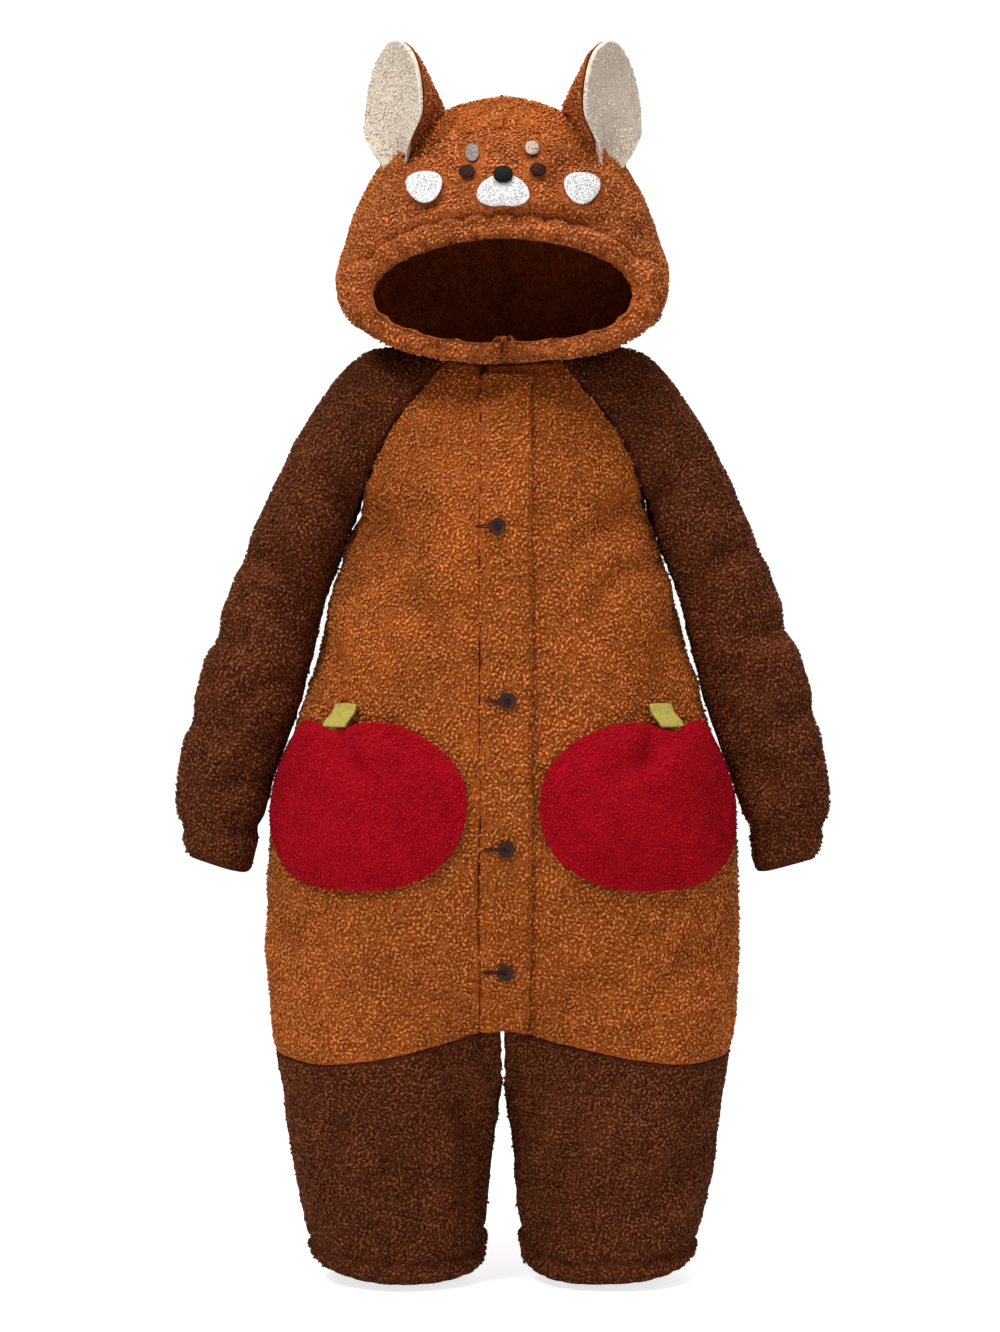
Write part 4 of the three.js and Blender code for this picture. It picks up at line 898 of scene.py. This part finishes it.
# Face, x, z, lean, bend, wide, long and deep: the swell of each apple and the dent below its stem.
pocket_creases = [
    (-1, -0.100, -0.366, 0, 0, 0.050, 0.046, 0.0030),
    (-1, 0.104, -0.362, 0, 0, 0.050, 0.046, 0.0030),
    (-1, -0.122, -0.318, -10, 0.003, 0.007, 0.020, -0.0030),
    (-1, 0.117, -0.316, 10, -0.003, 0.007, 0.020, -0.0032),
    (-1, -0.112, -0.330, -70, 0.004, 0.006, 0.022, -0.0014),
    (-1, 0.098, -0.328, 68, 0.004, 0.006, 0.024, -0.0014),
]
apple_fleece = fleece("apple_fleece", (0.36, 0.0010, 0.006), (0.56, 0.006, 0.020), 0.1, 0.5, 0.03)
for side, name in [(1, "left"), (-1, "right")]:
    node = "pocket_" + name
    pocket = cut_panel(node)
    lay_creases(pocket, body_line, pocket_creases)
    slacken(pocket)
    comb(pocket, body_line, 0.0009, seam_width=0.003, seam_pull=0.0008)
    pile = grow_pile(pocket, pocket_lock, 0.0026, 71 + side, apple_fleece)
    finish_cloth(pocket, [pile], node, apple_fleece)

# Stems: a folded tab of matted olive felt that stands on each apple, its foot caught in the
# pocket's top edge.
stem_felt = plain_cloth("stem_felt", (0.46, 0.38, 0.085), 260, 0.35, 0.9, (1, 1, 1))
for side, name in [(1, "left"), (-1, "right")]:
    stem = cut_panel("stem_" + name, hold=0.5)
    finish_cloth(stem, [], "stem_" + name, stem_felt)

# Ears: a dished front of cream boucle on a stuffed back of hood fleece, caught in the seam of
# the hood.
cream_lock = model_curl("cream_lock", 0.0010, 0.0026, 0.0011)
cream_plush = fleece("cream_plush", (0.84, 0.68, 0.53), (0.99, 0.90, 0.78), 0.04, 0.4, 0.1)


def catch_in_seam(ear):
    """Draws the foot of an ear down onto the hood, where it is caught in the seam."""
    foot_height = 0.0075  # what stands less than half this off the hood is laid right on it
    hoods = ["hood_face_cloth", "hood_back_left_cloth", "hood_back_right_cloth"]
    tree = tree_of(np.vstack([read_points(bpy.data.objects[name]) for name in hoods]))
    for vertex in ear.data.vertices:
        foot, _, gap = tree.find(vertex.co)
        vertex.co += (foot - vertex.co) * min(1, max(0, 1.5 - gap / foot_height))
    ear.data.update()


def stuff_ear(ear, line, side):
    """The stuffing pushes the cream cloth up into a soft lump in its lower half."""
    lump_place = np.array([0.098 * side, -0.045, 0.180])
    lump_height = 0.0035
    lump_width = 0.014
    edge_reach = 0.01
    points = read_points(ear)
    out = away_from(line, points)
    away = np.linalg.norm(points - lump_place, axis=1)
    inside = np.clip(edge_distance(ear) / edge_reach, 0, 1)
    lump = lump_height * np.exp(-((away / lump_width) ** 2)) * inside
    move_points(ear, points + out * lump[:, None])


for side, name in [(1, "left"), (-1, "right")]:
    behind = [(0.044 * side, -0.006, 0.140), (0.042 * side, -0.007, 0.240)]
    ear = cut_panel("ear_front_" + name, hold=0.35)
    stuff_ear(ear, behind, side)
    catch_in_seam(ear)
    comb(ear, behind, 0.0010, seam_width=0.003, seam_pull=0)
    pile = grow_pile(ear, cream_lock, 0.0027, 81 + side, cream_plush)
    finish_cloth(ear, [pile], "ear_front_" + name, cream_plush)
    ahead = [(0.128 * side, -0.060, 0.140), (0.126 * side, -0.061, 0.240)]
    ear = cut_panel("ear_back_" + name, hold=0.3)
    catch_in_seam(ear)
    comb(ear, ahead, 0.0014, seam_width=0.003, seam_pull=0)
    pile = grow_pile(ear, body_lock, pile_spacing, 85 + side, hood_fleece)
    finish_cloth(ear, [pile], "ear_back_" + name, hood_fleece)

# Face: short white plush for muzzle and cheeks, cream for the brows, and satin stitch in black
# and maroon for the nose and eyes, all sewn flat on the hood.
plush_lock = model_curl("plush_lock", 0.0007, 0.0017, 0.0008)
white_plush = fleece("white_plush", (0.86, 0.85, 0.84), (0.97, 0.97, 0.96), 0.02, 0.3, 0.1, 520)
brow_plush = fleece("brow_plush", (0.56, 0.43, 0.33), (0.80, 0.68, 0.57), 0.06, 0.3, 0.1, 520)
# The right brow: a darker copy of the brow plush, as painted shade.
grey_plush = fleece("grey_plush", (0.26, 0.20, 0.17), (0.50, 0.42, 0.37), 0.06, 0.3, 0.1, 520)
black_satin = satin("black_satin", (0.006, 0.005, 0.006), 1400)
eye_satin = satin("eye_satin", (0.030, 0.006, 0.004), 1400)
for node, cloth, slot, width, height in [
    ("muzzle", white_plush, "white_plush", 0.040, 0.027),
    ("cheek_right", white_plush, "white_plush", 0.030, 0.027),
    ("cheek_left", white_plush, "white_plush", 0.030, 0.027),
    ("brow_right", grey_plush, "cream_plush", 0.011, 0.016),
    ("brow_left", brow_plush, "cream_plush", 0.011, 0.012),
    ("nose", black_satin, "black_felt", 0.015, 0.014),
    ("eye_right", eye_satin, "eye_felt", 0.013, 0.011),
    ("eye_left", eye_satin, "eye_felt", 0.013, 0.010),
]:
    patch = cut_panel(node, hold=0.3)
    piles = []
    if cloth in (white_plush, brow_plush, grey_plush):
        comb(patch, hood_line, 0.0006, seam_width=0.002, seam_pull=0)
        piles = [grow_pile(patch, plush_lock, 0.0016, 91, cloth)]
    finish_cloth(patch, piles, node, cloth)

# Buttons: four moulded buttons with a rim and four holes, sewn on with dark thread, and a
# worked buttonhole running from each towards the sewn edge of the placket.
button_resin = bpy.data.materials.new("button_resin")
button_resin.use_nodes = True
resin = button_resin.node_tree.nodes["Principled BSDF"]
swirl = button_resin.node_tree.nodes.new("ShaderNodeTexNoise")
swirl.inputs["Scale"].default_value = 320
swirl.inputs["Distortion"].default_value = 2
hues = button_resin.node_tree.nodes.new("ShaderNodeMix")
hues.data_type = "RGBA"
hues.inputs["A"].default_value = (0.020, 0.007, 0.005, 1)
hues.inputs["B"].default_value = (0.075, 0.026, 0.016, 1)
spot = button_resin.node_tree.nodes.new("ShaderNodeTexCoord")
button_resin.node_tree.links.new(spot.outputs["Object"], swirl.inputs["Vector"])
button_resin.node_tree.links.new(swirl.outputs["Fac"], hues.inputs["Factor"])
button_resin.node_tree.links.new(hues.outputs["Result"], resin.inputs["Base Color"])
resin.inputs["Roughness"].default_value = 0.45
resin.inputs["Specular IOR Level"].default_value = 0.25
button_thread = satin("button_thread", (0.045, 0.012, 0.012), 2600)
button_thick = 0.0026
hole_share = 0.21  # how far out the holes lie, as a share of the button's radius
buttonhole_length = 0.016
buttonhole_width = 0.0016
buttonhole_step = (-0.0085, 0, 0)  # from the button towards the sewn edge


def model_button(radius, thick):
    """A round button with a raised rim, a dished middle and four holes."""
    bpy.ops.object.select_all(action="DESELECT")
    bpy.ops.mesh.primitive_cylinder_add(vertices=40, radius=radius, depth=thick, location=(0, 0, thick / 2))
    button = bpy.context.object
    top = max(button.data.polygons, key=lambda face: face.center.z).index
    bpy.ops.object.mode_set(mode="EDIT")
    bpy.ops.mesh.select_all(action="DESELECT")
    bpy.ops.object.mode_set(mode="OBJECT")
    button.data.polygons[top].select = True
    bpy.ops.object.mode_set(mode="EDIT")
    bpy.ops.mesh.select_mode(type="FACE")
    bpy.ops.mesh.inset(thickness=radius * 0.16, depth=0)
    bpy.ops.mesh.inset(thickness=radius * 0.10, depth=-thick * 0.22)
    bpy.ops.object.mode_set(mode="OBJECT")
    soften = button.modifiers.new("soften", "BEVEL")
    soften.width = 0.0004
    soften.segments = 2
    soften.limit_method = "ANGLE"
    bpy.ops.object.modifier_apply(modifier=soften.name)
    for x, y in [(1, 1), (1, -1), (-1, 1), (-1, -1)]:
        place = (x * radius * hole_share, y * radius * hole_share, 0)
        bpy.ops.mesh.primitive_cylinder_add(
            vertices=12, radius=radius * 0.11, depth=thick * 4, location=place
        )
        drill = bpy.context.object
        hole = button.modifiers.new("hole", "BOOLEAN")
        hole.operation = "DIFFERENCE"
        hole.object = drill
        bpy.context.view_layer.objects.active = button
        bpy.ops.object.modifier_apply(modifier=hole.name)
        bpy.data.objects.remove(drill)
    bpy.ops.object.select_all(action="DESELECT")
    button.select_set(True)
    bpy.ops.object.shade_smooth_by_angle(angle=math.radians(35))
    return button


def model_threads(radius, thick):
    """Two bars of thread between the holes, a little proud of the dished middle."""
    bpy.ops.object.select_all(action="DESELECT")
    bars = []
    for y in [1, -1]:
        bpy.ops.mesh.primitive_torus_add(
            major_segments=20,
            minor_segments=8,
            major_radius=radius * hole_share,
            minor_radius=radius * 0.075,
            location=(0, y * radius * hole_share, thick * 0.72),
            rotation=(math.pi / 2, 0, 0),
        )
        bars.append(bpy.context.object)
    for bar in bars:
        bar.select_set(True)
    bpy.ops.object.join()
    bpy.ops.object.transform_apply(location=True, rotation=True, scale=True)
    bpy.ops.object.shade_smooth()
    return bpy.context.object


def model_buttonhole(length, width):
    """A narrow slit with a thick worked edge, as a flattened ring."""
    bpy.ops.object.select_all(action="DESELECT")
    bpy.ops.mesh.primitive_torus_add(
        major_segments=48, minor_segments=8, major_radius=width / 2, minor_radius=0.0006
    )
    hole = bpy.context.object
    for vertex in hole.data.vertices:
        vertex.co.x += math.copysign((length - width) / 2, vertex.co.x)
    bpy.ops.object.shade_smooth()
    return hole


def set_down(piece, place, normal):
    """Turns a piece modelled on the ground to face along the normal, at its place."""
    piece.rotation_mode = "QUATERNION"
    piece.rotation_quaternion = Vector(normal).to_track_quat("Z", "Y")
    piece.location = place
    bpy.ops.object.select_all(action="DESELECT")
    piece.select_set(True)
    bpy.context.view_layer.objects.active = piece
    bpy.ops.object.transform_apply(location=True, rotation=True, scale=True)


for number in range(1, 5):
    node = "button_" + str(number)
    low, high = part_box(node)
    centre = (low + high) / 2
    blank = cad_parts[node].data
    fronts = [face for face in blank.polygons if face.normal.y < -0.95]
    normal = sum((face.normal * face.area for face in fronts), Vector()).normalized()
    radius = (high.x - low.x) / 2
    button = model_button(radius, button_thick)
    threads = model_threads(radius, button_thick)
    buttonhole = model_buttonhole(buttonhole_length, buttonhole_width)
    bed = centre - normal * button_thick / 2
    set_down(button, bed, normal)
    set_down(threads, bed, normal)
    set_down(buttonhole, bed + Vector(buttonhole_step) + normal * 0.0003, normal)
    for piece, name, finish in [
        (button, "_resin", button_resin),
        (threads, "_thread", button_thread),
        (buttonhole, "_hole", button_thread),
    ]:
        piece.name = node + name
        piece.data.materials.append(finish)
        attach(piece, "root")
    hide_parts(node)

# The single locks were only models for the piles, so they are taken away.
for lock in [body_lock, dark_lock, pocket_lock, cream_lock, plush_lock]:
    bpy.data.objects.remove(lock)
